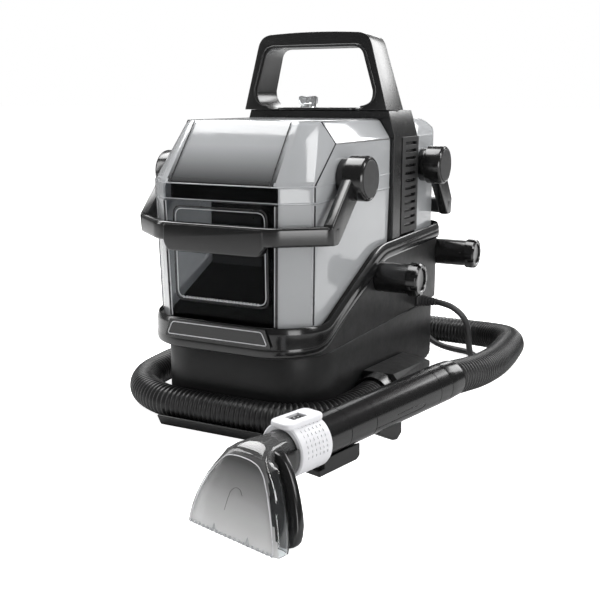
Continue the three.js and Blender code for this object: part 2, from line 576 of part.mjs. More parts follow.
base();
housing();
cradles();
hosePort();
wrapPosts();
powerButton();
machinery();
tower();
carryHandle();
frontTank();
rearTank();
pivots("front", FRONT_PIVOT_Y);
pivots("rear", REAR_PIVOT_Y);
bail("front_bail", FRONT_PIVOT_Y, -1, { far: 102.4, cheek: 63.6, low: 192.5 });
bail("rear_bail", REAR_PIVOT_Y, 1, { far: 79, cheek: 57, low: 188 });
hoseAndLead();
wand();
nozzle();

export default group;
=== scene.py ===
"""Carpet cleaner: the detailed visual model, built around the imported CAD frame.

Lengths in the constants below are millimetres. MM turns them into the frame's metres.
"""
import json
from math import cos, pi, radians, sin

import bmesh
import bpy
from mathutils import Matrix, Vector


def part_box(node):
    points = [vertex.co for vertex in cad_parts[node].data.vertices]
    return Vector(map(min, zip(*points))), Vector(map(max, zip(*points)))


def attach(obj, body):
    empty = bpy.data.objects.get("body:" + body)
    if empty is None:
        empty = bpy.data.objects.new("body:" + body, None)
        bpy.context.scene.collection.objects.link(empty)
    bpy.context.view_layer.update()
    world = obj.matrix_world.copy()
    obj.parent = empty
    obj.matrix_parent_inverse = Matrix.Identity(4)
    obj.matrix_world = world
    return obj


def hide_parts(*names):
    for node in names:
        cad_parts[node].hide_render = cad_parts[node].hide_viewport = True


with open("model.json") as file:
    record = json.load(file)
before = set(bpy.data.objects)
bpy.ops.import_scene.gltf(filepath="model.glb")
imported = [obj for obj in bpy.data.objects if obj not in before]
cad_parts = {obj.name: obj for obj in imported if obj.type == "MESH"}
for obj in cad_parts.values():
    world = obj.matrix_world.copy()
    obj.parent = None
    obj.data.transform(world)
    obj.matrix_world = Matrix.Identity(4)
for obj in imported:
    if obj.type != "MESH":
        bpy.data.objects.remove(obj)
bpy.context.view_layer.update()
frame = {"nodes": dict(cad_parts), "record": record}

MM = 0.001
WELD = 1e-4              # points closer than this are one point, in mm
scene = bpy.context.scene

# ---------- driving sizes (mm)
CAMERA = {"azimuth": 27.63, "elevation": 12.1, "place": (495.8, -958.1, 330.5), "lens": 56.24}
HOSE = {"radius": 17.0, "pitch": 5.5, "groove": 1.9}
CORD_RADIUS = 3.75
COIL = {"centre": (-130.0, 336.0), "outer": 57.5, "layers": 4, "lift": 1.8}
WAND_FRAME = (Matrix.Translation((165, -297, 55)) @ Matrix.Rotation(radians(-14.77), 4, "Z")
              @ Matrix.Rotation(radians(2), 4, "X"))
NOZZLE_FRAME = Matrix.Translation((165, -297, 55)) @ Matrix.Rotation(radians(-14.77), 4, "Z")
PIVOTS = {"front": -95.3, "rear": 130.7}
PIVOT_Z = 252.8

HOSE_ROUTE = [
    (118, -59, 20.6), (118, -80, 20.4), (118, -102, 20), (116, -120, 20), (110.7, -146.8, 20),
    (95.5, -169.5, 20), (72.8, -184.7, 20), (46, -189.4, 20), (15, -189.8, 20), (-20, -189.8, 20),
    (-66, -186.5, 20), (-108, -165, 20), (-136, -125, 20), (-145, -75, 20), (-146, -10, 20),
    (-146, 60, 20), (-144, 130, 20), (-132, 178, 20), (-104, 218, 20), (-62, 242, 20),
    (-10, 248, 20), (50, 248, 20), (105, 243, 21), (152, 226, 25), (188, 195, 31),
    (207, 150, 37), (216, 100, 42), (222, 50, 46), (226, 0, 51), (225, -50, 56),
    (216.5, -103.5, 61.8),
]
CORD_ROUTE = [
    (123, 116, 87), (130, 116, 86), (140, 118, 83), (150, 121, 76), (157, 125, 66),
    (160, 129, 53), (160, 132, 40), (160, 137, 27), (160, 144, 17), (159, 155, 9),
    (158, 170, 5), (154, 183, 5), (146, 194, 5), (134, 202, 5), (119, 206, 5),
    (101, 208, 7), (84, 213, 12), (66, 222, 23), (48, 231, 34), (28, 240, 41),
    (8, 247, 44), (-20, 255.5, 41), (-48, 264, 36), (-76, 270.5, 31.5), (-105, 274, 29.8),
]
# Side lines (y, z): the tanks' deck and the belt's edges, level at the front and rising to the rear.
DECK_LINE = [(-210, 107), (-137, 107), (-17, 165), (2, 169.5), (210, 169.5)]
BELT_TOP = [(-210, 112), (-140, 112), (-17, 169), (2, 173), (210, 176.5)]
BELT_BOTTOM = [(-210, 80.5), (-150, 83), (-122, 99), (-12, 150), (4, 154.5), (210, 158.5)]


# ---------- camera
def make_camera():
    data = bpy.data.cameras.new("camera")
    data.lens = CAMERA["lens"]
    data.sensor_width = 36
    camera = bpy.data.objects.new("camera", data)
    turn = Matrix.Rotation(radians(CAMERA["azimuth"]), 4, "Z")
    tilt = Matrix.Rotation(radians(90 - CAMERA["elevation"]), 4, "X")
    camera.matrix_world = Matrix.Translation(Vector(CAMERA["place"]) * MM) @ turn @ tilt
    scene.collection.objects.link(camera)
    scene.camera = camera


# ---------- materials
def blank(name):
    """A new material, its node tree and its shader."""
    material = bpy.data.materials.new(name)
    material.use_nodes = True
    tree = material.node_tree
    return material, tree, tree.nodes["Principled BSDF"]


def add_bump(tree, height, strength, distance):
    node = tree.nodes.new("ShaderNodeBump")
    node.inputs["Strength"].default_value = strength
    node.inputs["Distance"].default_value = distance
    tree.links.new(height, node.inputs["Height"])
    tree.links.new(node.outputs["Normal"], tree.nodes["Principled BSDF"].inputs["Normal"])


def noise(tree, coords, scale, detail=2.0, roughness=0.5, stretch=None):
    texture = tree.nodes.new("ShaderNodeTexNoise")
    texture.inputs["Scale"].default_value = scale
    texture.inputs["Detail"].default_value = detail
    texture.inputs["Roughness"].default_value = roughness
    source = coords
    if stretch:
        mapping = tree.nodes.new("ShaderNodeMapping")
        mapping.inputs["Scale"].default_value = stretch
        tree.links.new(coords, mapping.inputs["Vector"])
        source = mapping.outputs["Vector"]
    tree.links.new(source, texture.inputs["Vector"])
    return texture.outputs["Fac"]


def ramp(tree, value, low, high, out_low, out_high):
    node = tree.nodes.new("ShaderNodeMapRange")
    for name, number in (("From Min", low), ("From Max", high), ("To Min", out_low), ("To Max", out_high)):
        node.inputs[name].default_value = number
    tree.links.new(value, node.inputs["Value"])
    return node.outputs["Result"]


def blend_tones(tree, value, dark, light):
    """Mixes two colours by a value; each is three numbers or the output of another node."""
    mix = tree.nodes.new("ShaderNodeMix")
    mix.data_type = "RGBA"
    for name, tone in (("A", dark), ("B", light)):
        if isinstance(tone, bpy.types.NodeSocket):
            tree.links.new(tone, mix.inputs[name])
        else:
            mix.inputs[name].default_value = (*tone, 1)
    tree.links.new(value, mix.inputs["Factor"])
    return mix.outputs["Result"]


def grey(value):
    return (value, value, value * 1.03)


def plastic(name, dark, light, roughness, spread=0.06, grain=1800, bump=0.25, coat=0.0, metal=0.0,
            specular=0.5, stretch=None, patch=22):
    """A moulded surface between two greys: patchy tone, varied gloss and a fine grain."""
    material, tree, shader = blank(name)
    coords = tree.nodes.new("ShaderNodeTexCoord").outputs["Object"]
    patches = ramp(tree, noise(tree, coords, patch, 5), 0.3, 0.7, 0, 1)
    tree.links.new(blend_tones(tree, patches, grey(dark), grey(light)), shader.inputs["Base Color"])
    scuffs = noise(tree, coords, patch * 4, 6, 0.65, stretch)
    gloss = ramp(tree, scuffs, 0.3, 0.7, max(0.02, roughness - spread), roughness + spread)
    tree.links.new(gloss, shader.inputs["Roughness"])
    add_bump(tree, noise(tree, coords, grain, 3, 0.6, stretch), bump, 0.0001)
    shader.inputs["Metallic"].default_value = metal
    shader.inputs["Specular IOR Level"].default_value = specular
    shader.inputs["Coat Weight"].default_value = coat
    shader.inputs["Coat Roughness"].default_value = 0.05
    return material


def clear(name, tint, roughness, ripple=0.04, open_share=1.0, fade=None, ior=1.5):
    """Clear plastic that lets lamps through to what stands behind it.

    open_share below 1 makes it milky. fade is (low z, high z, tint at high z).
    """
    material, tree, shader = blank(name)
    coords = tree.nodes.new("ShaderNodeTexCoord").outputs["Object"]
    tones = blend_tones(tree, noise(tree, coords, 12, 3), [c * 0.97 for c in tint], tint)
    if fade:
        low, high, upper = fade
        place = tree.nodes.new("ShaderNodeSeparateXYZ")
        tree.links.new(coords, place.inputs["Vector"])
        level = ramp(tree, place.outputs["Z"], low * MM, high * MM, 0, 1)
        tones = blend_tones(tree, level, tones, upper)
    tree.links.new(tones, shader.inputs["Base Color"])
    shader.inputs["Transmission Weight"].default_value = open_share
    shader.inputs["IOR"].default_value = ior
    gloss = ramp(tree, noise(tree, coords, 90, 4), 0.35, 0.7, roughness * 0.6, roughness * 1.6)
    tree.links.new(gloss, shader.inputs["Roughness"])
    add_bump(tree, noise(tree, coords, 35, 2), ripple, 0.0005)
    through = tree.nodes.new("ShaderNodeBsdfTransparent")
    through.inputs["Color"].default_value = (*[0.9 * c for c in tint], 1)
    rays = tree.nodes.new("ShaderNodeLightPath")
    mix = tree.nodes.new("ShaderNodeMixShader")
    tree.links.new(rays.outputs["Is Shadow Ray"], mix.inputs["Fac"])
    tree.links.new(shader.outputs["BSDF"], mix.inputs[1])
    tree.links.new(through.outputs["BSDF"], mix.inputs[2])
    tree.links.new(mix.outputs["Shader"], tree.nodes["Material Output"].inputs["Surface"])
    return material


LOOKS = {
    "housing": plastic("housing_charcoal", 0.009, 0.013, 0.46, grain=2600, bump=0.3, specular=0.32),
    "foot": plastic("foot_rubber", 0.012, 0.02, 0.8, grain=1500, bump=0.5),
    "belt": plastic("belt_gloss", 0.004, 0.006, 0.2, spread=0.03, grain=500, bump=0.02, coat=0.25),
    "satin_black": plastic("satin_black", 0.004, 0.007, 0.26, spread=0.02, grain=2600, bump=0.04,
                           specular=0.7),
    "vent": plastic("vent_black", 0.007, 0.01, 0.5, grain=2200, bump=0.25),
    "button_grey": plastic("button_grey", 0.09, 0.12, 0.4, grain=2600, bump=0.2),
    "motor_metal": plastic("motor_metal", 0.42, 0.5, 0.35, metal=1.0, grain=300, stretch=(1, 1, 30)),
    "impeller": plastic("impeller_nylon", 0.42, 0.5, 0.5),
    "pump_body": plastic("pump_nylon", 0.08, 0.11, 0.5),
    "plunger": plastic("plunger_acetal", 0.55, 0.62, 0.35),
    "clear_plastic": clear("clear_plastic", (0.9, 0.92, 0.93), 0.03),
    "gasket": plastic("gasket_rubber", 0.003, 0.005, 0.6, grain=1500, bump=0.3, specular=0.15),
    "float_white": plastic("float_white", 0.62, 0.7, 0.45),
    "bail_black": plastic("bail_black", 0.004, 0.007, 0.19, spread=0.02, grain=2400, bump=0.01,
                          specular=0.7),
    "bail_cap": plastic("bail_cap", 0.016, 0.022, 0.45, grain=2600, bump=0.3),
    "hose_rubber": plastic("hose_rubber", 0.008, 0.014, 0.36, grain=1500, bump=0.15, specular=0.4),
    "cord_rubber": plastic("cord_rubber", 0.03, 0.045, 0.45, grain=1500, bump=0.25),
    "tie": plastic("tie_strap", 0.01, 0.025, 0.85, grain=3500, bump=0.9),
    "wand_gloss": plastic("wand_gloss", 0.003, 0.004, 0.2, spread=0.02, grain=2400, bump=0.004),
    "wand_black": plastic("wand_black", 0.003, 0.005, 0.38, spread=0.03, grain=2400, bump=0.03, specular=0.4),
    "collar_white": plastic("collar_white", 0.62, 0.7, 0.38, grain=2400, bump=0.15),
}
MISTY = clear("misty_plastic", (0.54, 0.55, 0.56), 0.08, open_share=0.45)
NOZZLE_PANEL = clear("nozzle_panel", (0.62, 0.62, 0.62), 0.12, open_share=0.12, ripple=0.01,
                     fade=(4, 58, (0.09, 0.09, 0.09)))
# Light bead colour: painted highlight lines along the clear walls, the tank window and the nozzle panel, and
# the name plate's light outline.
GLINT_LINES_AND_LIGHT_TRIM = plastic("painted_glint_lines_and_light_trim", 0.45, 0.6, 0.3, grain=2000, bump=0.05)
# Dark bead colour: painted shade lines where the clear walls turn, on the tank window and on the nozzle
# panel's emboss, and the dark colour of the wand's seams and the nozzle button.
SHADE_LINES_AND_DARK_PARTS = plastic("painted_shade_lines_and_dark_parts", 0.006, 0.01, 0.3, grain=2000, bump=0.05)
# Painted shade: black for the tanks' floors and the front tank's rear wall, where the clear walls show shade.
PAINTED_SHADE_BLACK = plastic("painted_shade_black", 0.002, 0.004, 0.9, grain=900, bump=0.02, specular=0.0)
SMOKE = clear("nozzle_smoke", (0.3, 0.3, 0.3), 0.05, open_share=0.85)
DOME = clear("dome_front", (0.02, 0.02, 0.02), 0.06, open_share=0.4, fade=(248, 286, (0.5, 0.51, 0.52)))
WINDOW = clear("front_window", (0.55, 0.56, 0.57), 0.03, ripple=0.01, ior=1.12)
SLOT_OF = {part["node"]: part["material_slot"] for part in frame["record"]["subparts"]}
BODIES = frame["record"]["behaviour"]["bodies"]
BODY_OF_NODE = {node: body for body, members in BODIES.items() for node in members}


# ---------- mesh helpers
def applied(obj):
    """Replaces the object's mesh by the mesh that its modifiers give."""
    bpy.context.view_layer.update()
    graph = bpy.context.evaluated_depsgraph_get()
    mesh = bpy.data.meshes.new_from_object(obj.evaluated_get(graph), depsgraph=graph)
    obj.modifiers.clear()
    obj.data = mesh
    return obj


def raw(name, verts, faces):
    mesh = bpy.data.meshes.new(name)
    mesh.from_pydata([tuple(v) for v in verts], [], faces)
    mesh.update()
    obj = bpy.data.objects.new(name, mesh)
    scene.collection.objects.link(obj)
    return obj


def from_bmesh(name, shape):
    mesh = bpy.data.meshes.new(name)
    bmesh.ops.recalc_face_normals(shape, faces=shape.faces)
    shape.to_mesh(mesh)
    shape.free()
    obj = bpy.data.objects.new(name, mesh)
    scene.collection.objects.link(obj)
    return obj


def placed(obj, matrix=None):
    """Moves a mesh drawn in millimetres, in its own frame, to its place in metres."""
    obj.data.transform(Matrix.Scale(MM, 4) @ (matrix or Matrix.Identity(4)))
    obj.data.update()
    return obj


def smooth(obj, angle=35):
    obj.data.shade_smooth()
    obj.data.set_sharp_from_angle(angle=radians(angle))
    return obj


def bevelled(obj, width, segments=3, angle=28, even=True):
    """Rounds the edges; width is in the object's own units."""
    rounder = obj.modifiers.new("rounder", "BEVEL")
    rounder.width = width
    rounder.segments = segments
    rounder.limit_method = "ANGLE"
    rounder.angle_limit = radians(angle)
    rounder.use_clamp_overlap = True
    applied(obj)
    smooth(obj, 40)
    if even:
        obj.modifiers.new("weights", "WEIGHTED_NORMAL").keep_sharp = True
        applied(obj)
    return obj


def cut(obj, other, how="DIFFERENCE"):
    knife = obj.modifiers.new("knife", "BOOLEAN")
    knife.operation = how
    knife.object = other
    knife.solver = "EXACT"
    applied(obj)
    bpy.data.objects.remove(other)
    return obj


def remade(obj, weld=0, outward=True):
    """Joins points closer than weld, and turns the faces outwards."""
    shape = bmesh.new()
    shape.from_mesh(obj.data)
    if weld:
        bmesh.ops.remove_doubles(shape, verts=shape.verts, dist=weld)
    if outward:
        bmesh.ops.recalc_face_normals(shape, faces=shape.faces)
    shape.to_mesh(obj.data)
    shape.free()
    return obj


def dress(obj, body, slot, replaces=(), material=None):
    """Gives a finished piece its material, which is its slot's look unless one is given, and its body, and
    hides the CAD nodes it stands for.
    """
    obj.data.materials.clear()
    obj.data.materials.append(material or LOOKS[slot])
    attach(obj, body)
    if replaces:
        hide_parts(*replaces)
    return obj


def stand_in(obj, node, angle, matrix=None):
    """Gives a piece drawn in millimetres the place, body and slot's look of the CAD node that it replaces,
    and hides that node.
    """
    return dress(smooth(placed(obj, matrix), angle), BODY_OF_NODE[node], SLOT_OF[node], [node])


def tidy_copy(node):
    """A copy of a CAD node with its flat faces whole."""
    shape = bmesh.new()
    shape.from_mesh(frame["nodes"][node].data)
    bmesh.ops.remove_doubles(shape, verts=shape.verts, dist=0.02 * MM)
    bmesh.ops.dissolve_limit(shape, angle_limit=radians(0.6), verts=shape.verts, edges=shape.edges)
    return from_bmesh(node + "_skin", shape)


def soften(node, width=0.8, segments=3):
    """Stands a bevelled copy in for a CAD node."""
    obj = bevelled(tidy_copy(node), width * MM, segments)
    return dress(obj, BODY_OF_NODE[node], SLOT_OF[node], [node])


def box_shape(low, high):
    shape = bmesh.new()
    bmesh.ops.create_cube(shape, size=1)
    centre = (Vector(low) + Vector(high)) / 2
    size = Vector(high) - Vector(low)
    for vert in shape.verts:
        vert.co = Vector([c * s for c, s in zip(vert.co, size)]) + centre
    return from_bmesh("box", shape)


def hull_shape(name, points):
    shape = bmesh.new()
    for point in points:
        shape.verts.new(point)
    result = bmesh.ops.convex_hull(shape, input=shape.verts)
    spare = [g for g in result["geom_interior"] + result["geom_unused"] if isinstance(g, bmesh.types.BMVert)]
    bmesh.ops.delete(shape, geom=spare, context="VERTS")
    bmesh.ops.dissolve_limit(shape, angle_limit=radians(1), verts=shape.verts, edges=shape.edges)
    return from_bmesh(name, shape)


def side_prism(name, line, floor, half):
    """The space under a side line (y, z), down to floor, from -half to half across."""
    outline = [(line[0][0], floor)] + list(line) + [(line[-1][0], floor)]
    count = len(outline)
    verts = [(x, y, z) for x in (-half, half) for y, z in outline]
    faces = [list(range(count))[::-1], list(range(count, 2 * count))]
    faces += [[i, (i + 1) % count, (i + 1) % count + count, i + count] for i in range(count)]
    return remade(raw(name, verts, faces))


def lofted(name, rings, ends=True):
    """Skins a list of rings of equally many points, and closes both ends."""
    count = len(rings[0])
    verts = [point for ring in rings for point in ring]
    faces = []
    for i in range(len(rings) - 1):
        for j in range(count):
            k = (j + 1) % count
            faces.append([i * count + j, i * count + k, (i + 1) * count + k, (i + 1) * count + j])
    if ends:
        faces.append(list(range(count))[::-1])
        faces.append([(len(rings) - 1) * count + j for j in range(count)])
    return remade(raw(name, verts, faces))


def looped(name, rings, outward=True):
    """Skins rings of which the last joins the first."""
    return remade(lofted(name, rings + [rings[0]], ends=False), WELD, outward)


# Two coordinates across an axis and one along it, put in the order x, y, z.
ON_AXIS = {"x": lambda u, v, w: (w, u, v), "y": lambda u, v, w: (u, w, v), "z": lambda u, v, w: (u, v, w)}


def lathe(name, profile, axis="y", centre=(0, 0, 0), sides=64, closed=False):
    """Turns (radius, distance) points about an axis through centre."""
    turns = [(cos(2 * pi * k / sides), sin(2 * pi * k / sides)) for k in range(sides)]
    rings = [[ON_AXIS[axis](radius * c, radius * s, along) for c, s in turns] for radius, along in profile]
    rings = [[(x + centre[0], y + centre[1], z + centre[2]) for x, y, z in ring] for ring in rings]
    return looped(name, rings) if closed else lofted(name, rings)


def bored(obj, radius, span, axis, centre, sides=48):
    """Cuts a round hole that runs over a span along an axis through centre."""
    return cut(obj, lathe("hole", [(radius, at) for at in span], axis, centre, sides))


def middle(node):
    """Centre and half size of a node, in millimetres."""
    low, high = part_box(node)
    return (low + high) / 2 / MM, (high - low) / 2 / MM


def extent(node):
    """Half width, front, rear, bottom and top of a node, in millimetres."""
    low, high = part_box(node)
    return high.x / MM, low.y / MM, high.y / MM, low.z / MM, high.z / MM


# ---------- lines and tubes
def bend(start, via, end, count):
    """Points of a quadratic curve from start to end, pulled towards via."""
    start, via, end = Vector(start), Vector(via), Vector(end)
    shares = [k / count for k in range(count + 1)]
    return [start * (1 - t) ** 2 + via * 2 * t * (1 - t) + end * t * t for t in shares]


def catmull(points, steps=10):
    """A centripetal Catmull-Rom line through the points."""
    points = [Vector(p) for p in points]
    ends = [2 * points[0] - points[1]] + points + [2 * points[-1] - points[-2]]
    line = []
    for a, b, c, d in zip(ends, ends[1:], ends[2:], ends[3:]):
        t1 = (b - a).length ** 0.5
        t2 = t1 + (c - b).length ** 0.5
        t3 = t2 + (d - c).length ** 0.5
        for step in range(steps):
            t = t1 + (t2 - t1) * step / steps
            ab = a.lerp(b, t / t1)
            bc = b.lerp(c, (t - t1) / (t2 - t1))
            cd = c.lerp(d, (t - t2) / (t3 - t2))
            line.append(ab.lerp(bc, t / t2).lerp(bc.lerp(cd, (t - t1) / (t3 - t1)), (t - t1) / (t2 - t1)))
    return line + [points[-1]]


def evenly(line, spacing):
    """The same line with its points an even distance apart."""
    lengths = [0.0]
    for a, b in zip(line, line[1:]):
        lengths.append(lengths[-1] + (b - a).length)
    count = max(2, round(lengths[-1] / spacing))
    result, at = [], 0
    for k in range(count + 1):
        target = lengths[-1] * k / count
        while at < len(lengths) - 2 and lengths[at + 1] < target:
            at += 1
        result.append(line[at].lerp(line[at + 1], (target - lengths[at]) / (lengths[at + 1] - lengths[at])))
    return result


def swept(name, line, radii, sides):
    """A round tube along a line, without twist."""
    rings = []
    side = None
    for k, point in enumerate(line):
        ahead = (line[min(k + 1, len(line) - 1)] - line[max(k - 1, 0)]).normalized()
        if side is None:
            side = ahead.cross(Vector((0, 0, 1))).normalized()
        side = (side - ahead * side.dot(ahead)).normalized()
        up = side.cross(ahead)
        rings.append([point + radii[k] * (side * cos(2 * pi * j / sides) + up * sin(2 * pi * j / sides))
                      for j in range(sides)])
    return lofted(name, rings)


# ---------- hose and power lead
def make_hose():
    samples = 8
    line = evenly(catmull(HOSE_ROUTE), HOSE["pitch"] / samples)
    radii = [HOSE["radius"] - HOSE["groove"] * (0.5 - 0.5 * cos(2 * pi * k / samples)) ** 1.4
             for k in range(len(line))]
    hose = stand_in(swept("hose", line, radii, 36), "suction_hose", 60)


def coil_line():
    """Twelve turns in spiral layers, wound clockwise from the top layer down."""
    start, finish = radians(-100), radians(90)
    turns = 11 + (start - finish) / (2 * pi) % 1
    per_layer = turns / COIL["layers"]
    depth = 2 * CORD_RADIUS
    shrink = per_layer * depth
    steps = 60
    line = []
    total = int(turns * steps)
    for k in range(total + 1):
        turn = k / steps
        layer = min(int(turn / per_layer), COIL["layers"] - 1)
        share = turn / per_layer - layer
        inward = layer % 2 == 0
        radius = COIL["outer"] - shrink * (share if inward else 1 - share)
        drop = min(1.0, share * per_layer * 3.5) if layer else 1.0
        drop = drop * drop * (3 - 2 * drop)
        height = (COIL["layers"] - 1 - layer) + (1 - drop)
        angle = start - 2 * pi * turn
        line.append(Vector((
            COIL["centre"][0] + radius * cos(angle), COIL["centre"][1] + radius * sin(angle),
            COIL["lift"] + CORD_RADIUS + depth * height,
        )))
    return line


def make_lead():
    coil = coil_line()
    centre, reach = middle("power_plug")
    tail_y, plug_x = centre.y, centre.x - reach.x
    tail = [Vector(p) for p in (
        (COIL["centre"][0] + 9, tail_y, 5.75), (COIL["centre"][0] + 18, tail_y, 7.1),
        (COIL["centre"][0] + 27, tail_y, 8.5), (plug_x + 3, tail_y, 9),
    )]
    route = [Vector(p) for p in CORD_ROUTE]
    line = catmull(route + [coil[0].lerp(Vector((-117, 275.2, 28.9)), 0.5)] + coil[2::4] + tail, 3)
    line = evenly(line, 4.0)
    data = bpy.data.curves.new("lead", "CURVE")
    data.dimensions = "3D"
    data.bevel_depth = CORD_RADIUS * MM
    data.bevel_resolution = 5
    data.use_fill_caps = True
    spline = data.splines.new("POLY")
    spline.points.add(len(line) - 1)
    for target, point in zip(spline.points, line):
        target.co = (*(point * MM), 1)
    lead = bpy.data.objects.new("lead", data)
    scene.collection.objects.link(lead)
    data.materials.append(LOOKS["cord_rubber"])
    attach(lead, "root")
    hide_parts("power_cord", "cord_coil")

    centre, reach = middle("cord_strain_relief")
    start, end = centre.x - reach.x, centre.x + reach.x
    profile = [(8, start), (8.4, start + 0.6), (8.4, start + 2.4), (7.4, start + 3)]
    for k in range(5):
        at = start + 4.2 + k * 3.6
        radius = 7.2 - k * 0.5
        profile += [(radius, at), (radius - 0.1, at + 2), (radius - 1.5, at + 2.4), (radius - 1.5, at + 3.2)]
    profile += [(4.9, end - 1), (4.5, end)]
    relief = lathe("strain_relief", profile, "x", (0, centre.y, centre.z), 40)
    stand_in(relief, "cord_strain_relief", 40)
    plug = soften("power_plug", 1.6, 3)
    tie = soften("cord_tie", 0.4, 2)


# ---------- base, housing and belt
def plan_ring(half, front, rear, corner, rear_corner, inset=0.0, arc=14, side=40, end=16):
    """A closed plan outline of evenly many points, from the rear right corner round to the left."""
    half, front, rear = half - inset, front + inset, rear - inset
    corner, rear_corner = corner - inset, rear_corner - inset
    spots = [(half - rear_corner, rear - rear_corner, rear_corner),
             (rear_corner - half, rear - rear_corner, rear_corner),
             (corner - half, front + corner, corner), (half - corner, front + corner, corner)]
    arcs = []
    for quarter, (x, y, radius) in enumerate(spots):
        angles = [pi / 2 * (quarter + k / arc) for k in range(arc + 1)]
        arcs.append([(x + radius * cos(angle), y + radius * sin(angle)) for angle in angles])
    points = []
    for now, then, count in zip(arcs, arcs[1:] + arcs[:1], (end, side, end, side)):
        (x0, y0), (x1, y1) = now[-1], then[0]
        points += now + [(x0 + (x1 - x0) * k / count, y0 + (y1 - y0) * k / count) for k in range(1, count)]
    return points


def plan_stack(half, front, rear, corners, levels):
    """The plan outline at each (inset, z) of levels."""
    return [[(x, y, z) for x, y in plan_ring(half, front, rear, inset=inset, **corners)]
            for inset, z in levels]


def on_line(line, y, blend=9):
    """Height of a side line at y, with its corners rounded over about blend either way."""
    def exact(at):
        for (y0, z0), (y1, z1) in zip(line, line[1:]):
            if y0 <= at <= y1:
                return z0 + (z1 - z0) * (at - y0) / (y1 - y0)
        return line[0][1] if at < line[0][0] else line[-1][1]
    samples = 9
    return sum(exact(y + blend * (2 * k / (samples - 1) - 1)) for k in range(samples)) / samples


def under_deck(shift):
    """The space under the deck that carries the tanks, its top raised by shift."""
    line = [(y, on_line(DECK_LINE, y) + shift) for y in range(-210, 211, 6)]
    return side_prism("under_deck", line, 0, 150)


TUB = {"corner": 50, "rear_corner": 30}
HOUSING = {"corner": 54, "rear_corner": 30}
BELT = {"corner": 58, "rear_corner": 36}


def make_base():
    half, front, rear, bottom, top = extent("base_tub")
    levels = [(5.5, bottom), (2.6, bottom + 0.8), (0.9, bottom + 2.6), (0, bottom + 6), (0, top - 3),
              (1.2, top - 0.6), (2.2, top)]
    rings = plan_stack(half, front, rear, TUB, levels + [(5, top), (5, bottom)])
    stand_in(looped("tub", rings, outward=False), "base_tub", 40)
    for node in ("foot_fl", "foot_fr", "foot_rl", "foot_rr"):
        soften(node, 0.8, 2)
    soften("base_pan", 0.5, 2)


def make_housing():
    half, front, rear, bottom, _ = extent("upper_housing")
    levels = [(1.5, bottom), (0.4, bottom + 0.6), (0, bottom + 1.6), (0, 260)]
    shell = lofted("housing", plan_stack(half, front, rear, HOUSING, levels))
    cut(shell, under_deck(0), "INTERSECT")
    thin = lofted("inside", plan_stack(half, front, rear, HOUSING, [(3, bottom - 1), (3, 150)]))
    cut(thin, under_deck(-3), "INTERSECT")
    cut(shell, thin)
    centre, reach = middle("power_button")
    bored(shell, reach.y + 0.3, (-130, -80), "x", (0, centre.y, centre.z))
    stand_in(shell, "upper_housing", 35)


def make_belt():
    """The gloss band round the housing, with rounded upper and lower edges."""
    half, front, rear, _, _ = extent("upper_housing")
    inner = plan_ring(half, front, rear, inset=-0.3, **HOUSING)
    half, front, rear, _, _ = extent("housing_rim")
    outer = plan_ring(half, front, rear, **BELT)
    section = [(0.0, 0.0, 0.6), (0.35, 0.0, 0.0), (0.72, 0.0, 0.4), (0.93, 0.0, 1.5), (1.0, 0.0, 3.4),
               (1.0, 0.0, 7.2), (0.9, 0.0, 8.4), (0.86, 0.0, 9.6), (0.86, 0.5, 2), (0.86, 1.0, -7.4),
               (0.84, 1.0, -6.2), (0.78, 1.0, -5.2), (0.36, 1.0, -1.2), (0.24, 1.0, -0.3), (0.1, 1.0, 0),
               (0.0, 1.0, -0.4)]
    rings = []
    for share, level, lift in section:
        ring = []
        for (x0, y0), (x1, y1) in zip(inner, outer):
            y = y1
            low, high = on_line(BELT_BOTTOM, y), on_line(BELT_TOP, y)
            ring.append((x0 + (x1 - x0) * share, y0 + (y1 - y0) * share, low + (high - low) * level + lift))
        rings.append(ring)
    belt = looped("belt", rings, outward=False)
    centre, reach = middle("wrap_post_front")
    bored(belt, reach.z + 0.3, (80, 130), "x", (0, centre.y, centre.z), 64)
    stand_in(belt, "housing_rim", 45)
    soften("name_plate", 0.7, 3)
    _, face, _, bottom, top = extent("name_plate")
    wide, narrow, margin = 58.5, 52.5, 3
    corners = [(-wide, bottom + margin), (wide, bottom + margin), (narrow, top - margin),
               (-narrow, top - margin)]
    line = [(x, face - 0.05, z) for x, z in rounded_line_loop(corners, 3.2)]
    line_piece("plate_line", line + line[:1], 0.55, "root", GLINT_LINES_AND_LIGHT_TRIM, "belt")


def rounded_line_loop(corners, radius, steps=6):
    """A closed outline with each corner cut by a smooth curve."""
    result = []
    corners = [Vector(corner) for corner in corners]
    for before, at, after in zip(corners[-1:] + corners, corners, corners[1:] + corners[:1]):
        a = at + (before - at).normalized() * radius
        b = at + (after - at).normalized() * radius
        result += bend(a, at, b, steps)
    return result


# ---------- tanks
FRONT_TANK = {"nose": 65.5, "cheek": -157.6, "waist": 249, "draft": 3, "low": 100}
ROOF = {"half": 79, "shoulder": 287.6}
TANK_WALL = 2.6


def hollowed(obj, axis, opening, even=True):
    """Takes away the faces that lie at opening along axis, and turns the rest into the tank's wall."""
    shape = bmesh.new()
    shape.from_mesh(obj.data)
    away = [f for f in shape.faces
            if abs(f.normal[axis]) > 0.99 and abs(f.calc_center_median()[axis] - opening) < 0.05]
    bmesh.ops.delete(shape, geom=away, context="FACES")
    shape.to_mesh(obj.data)
    shape.free()
    wall = obj.modifiers.new("wall", "SOLIDIFY")
    wall.thickness = TANK_WALL
    wall.offset = -1
    wall.use_even_offset = even
    return applied(obj)


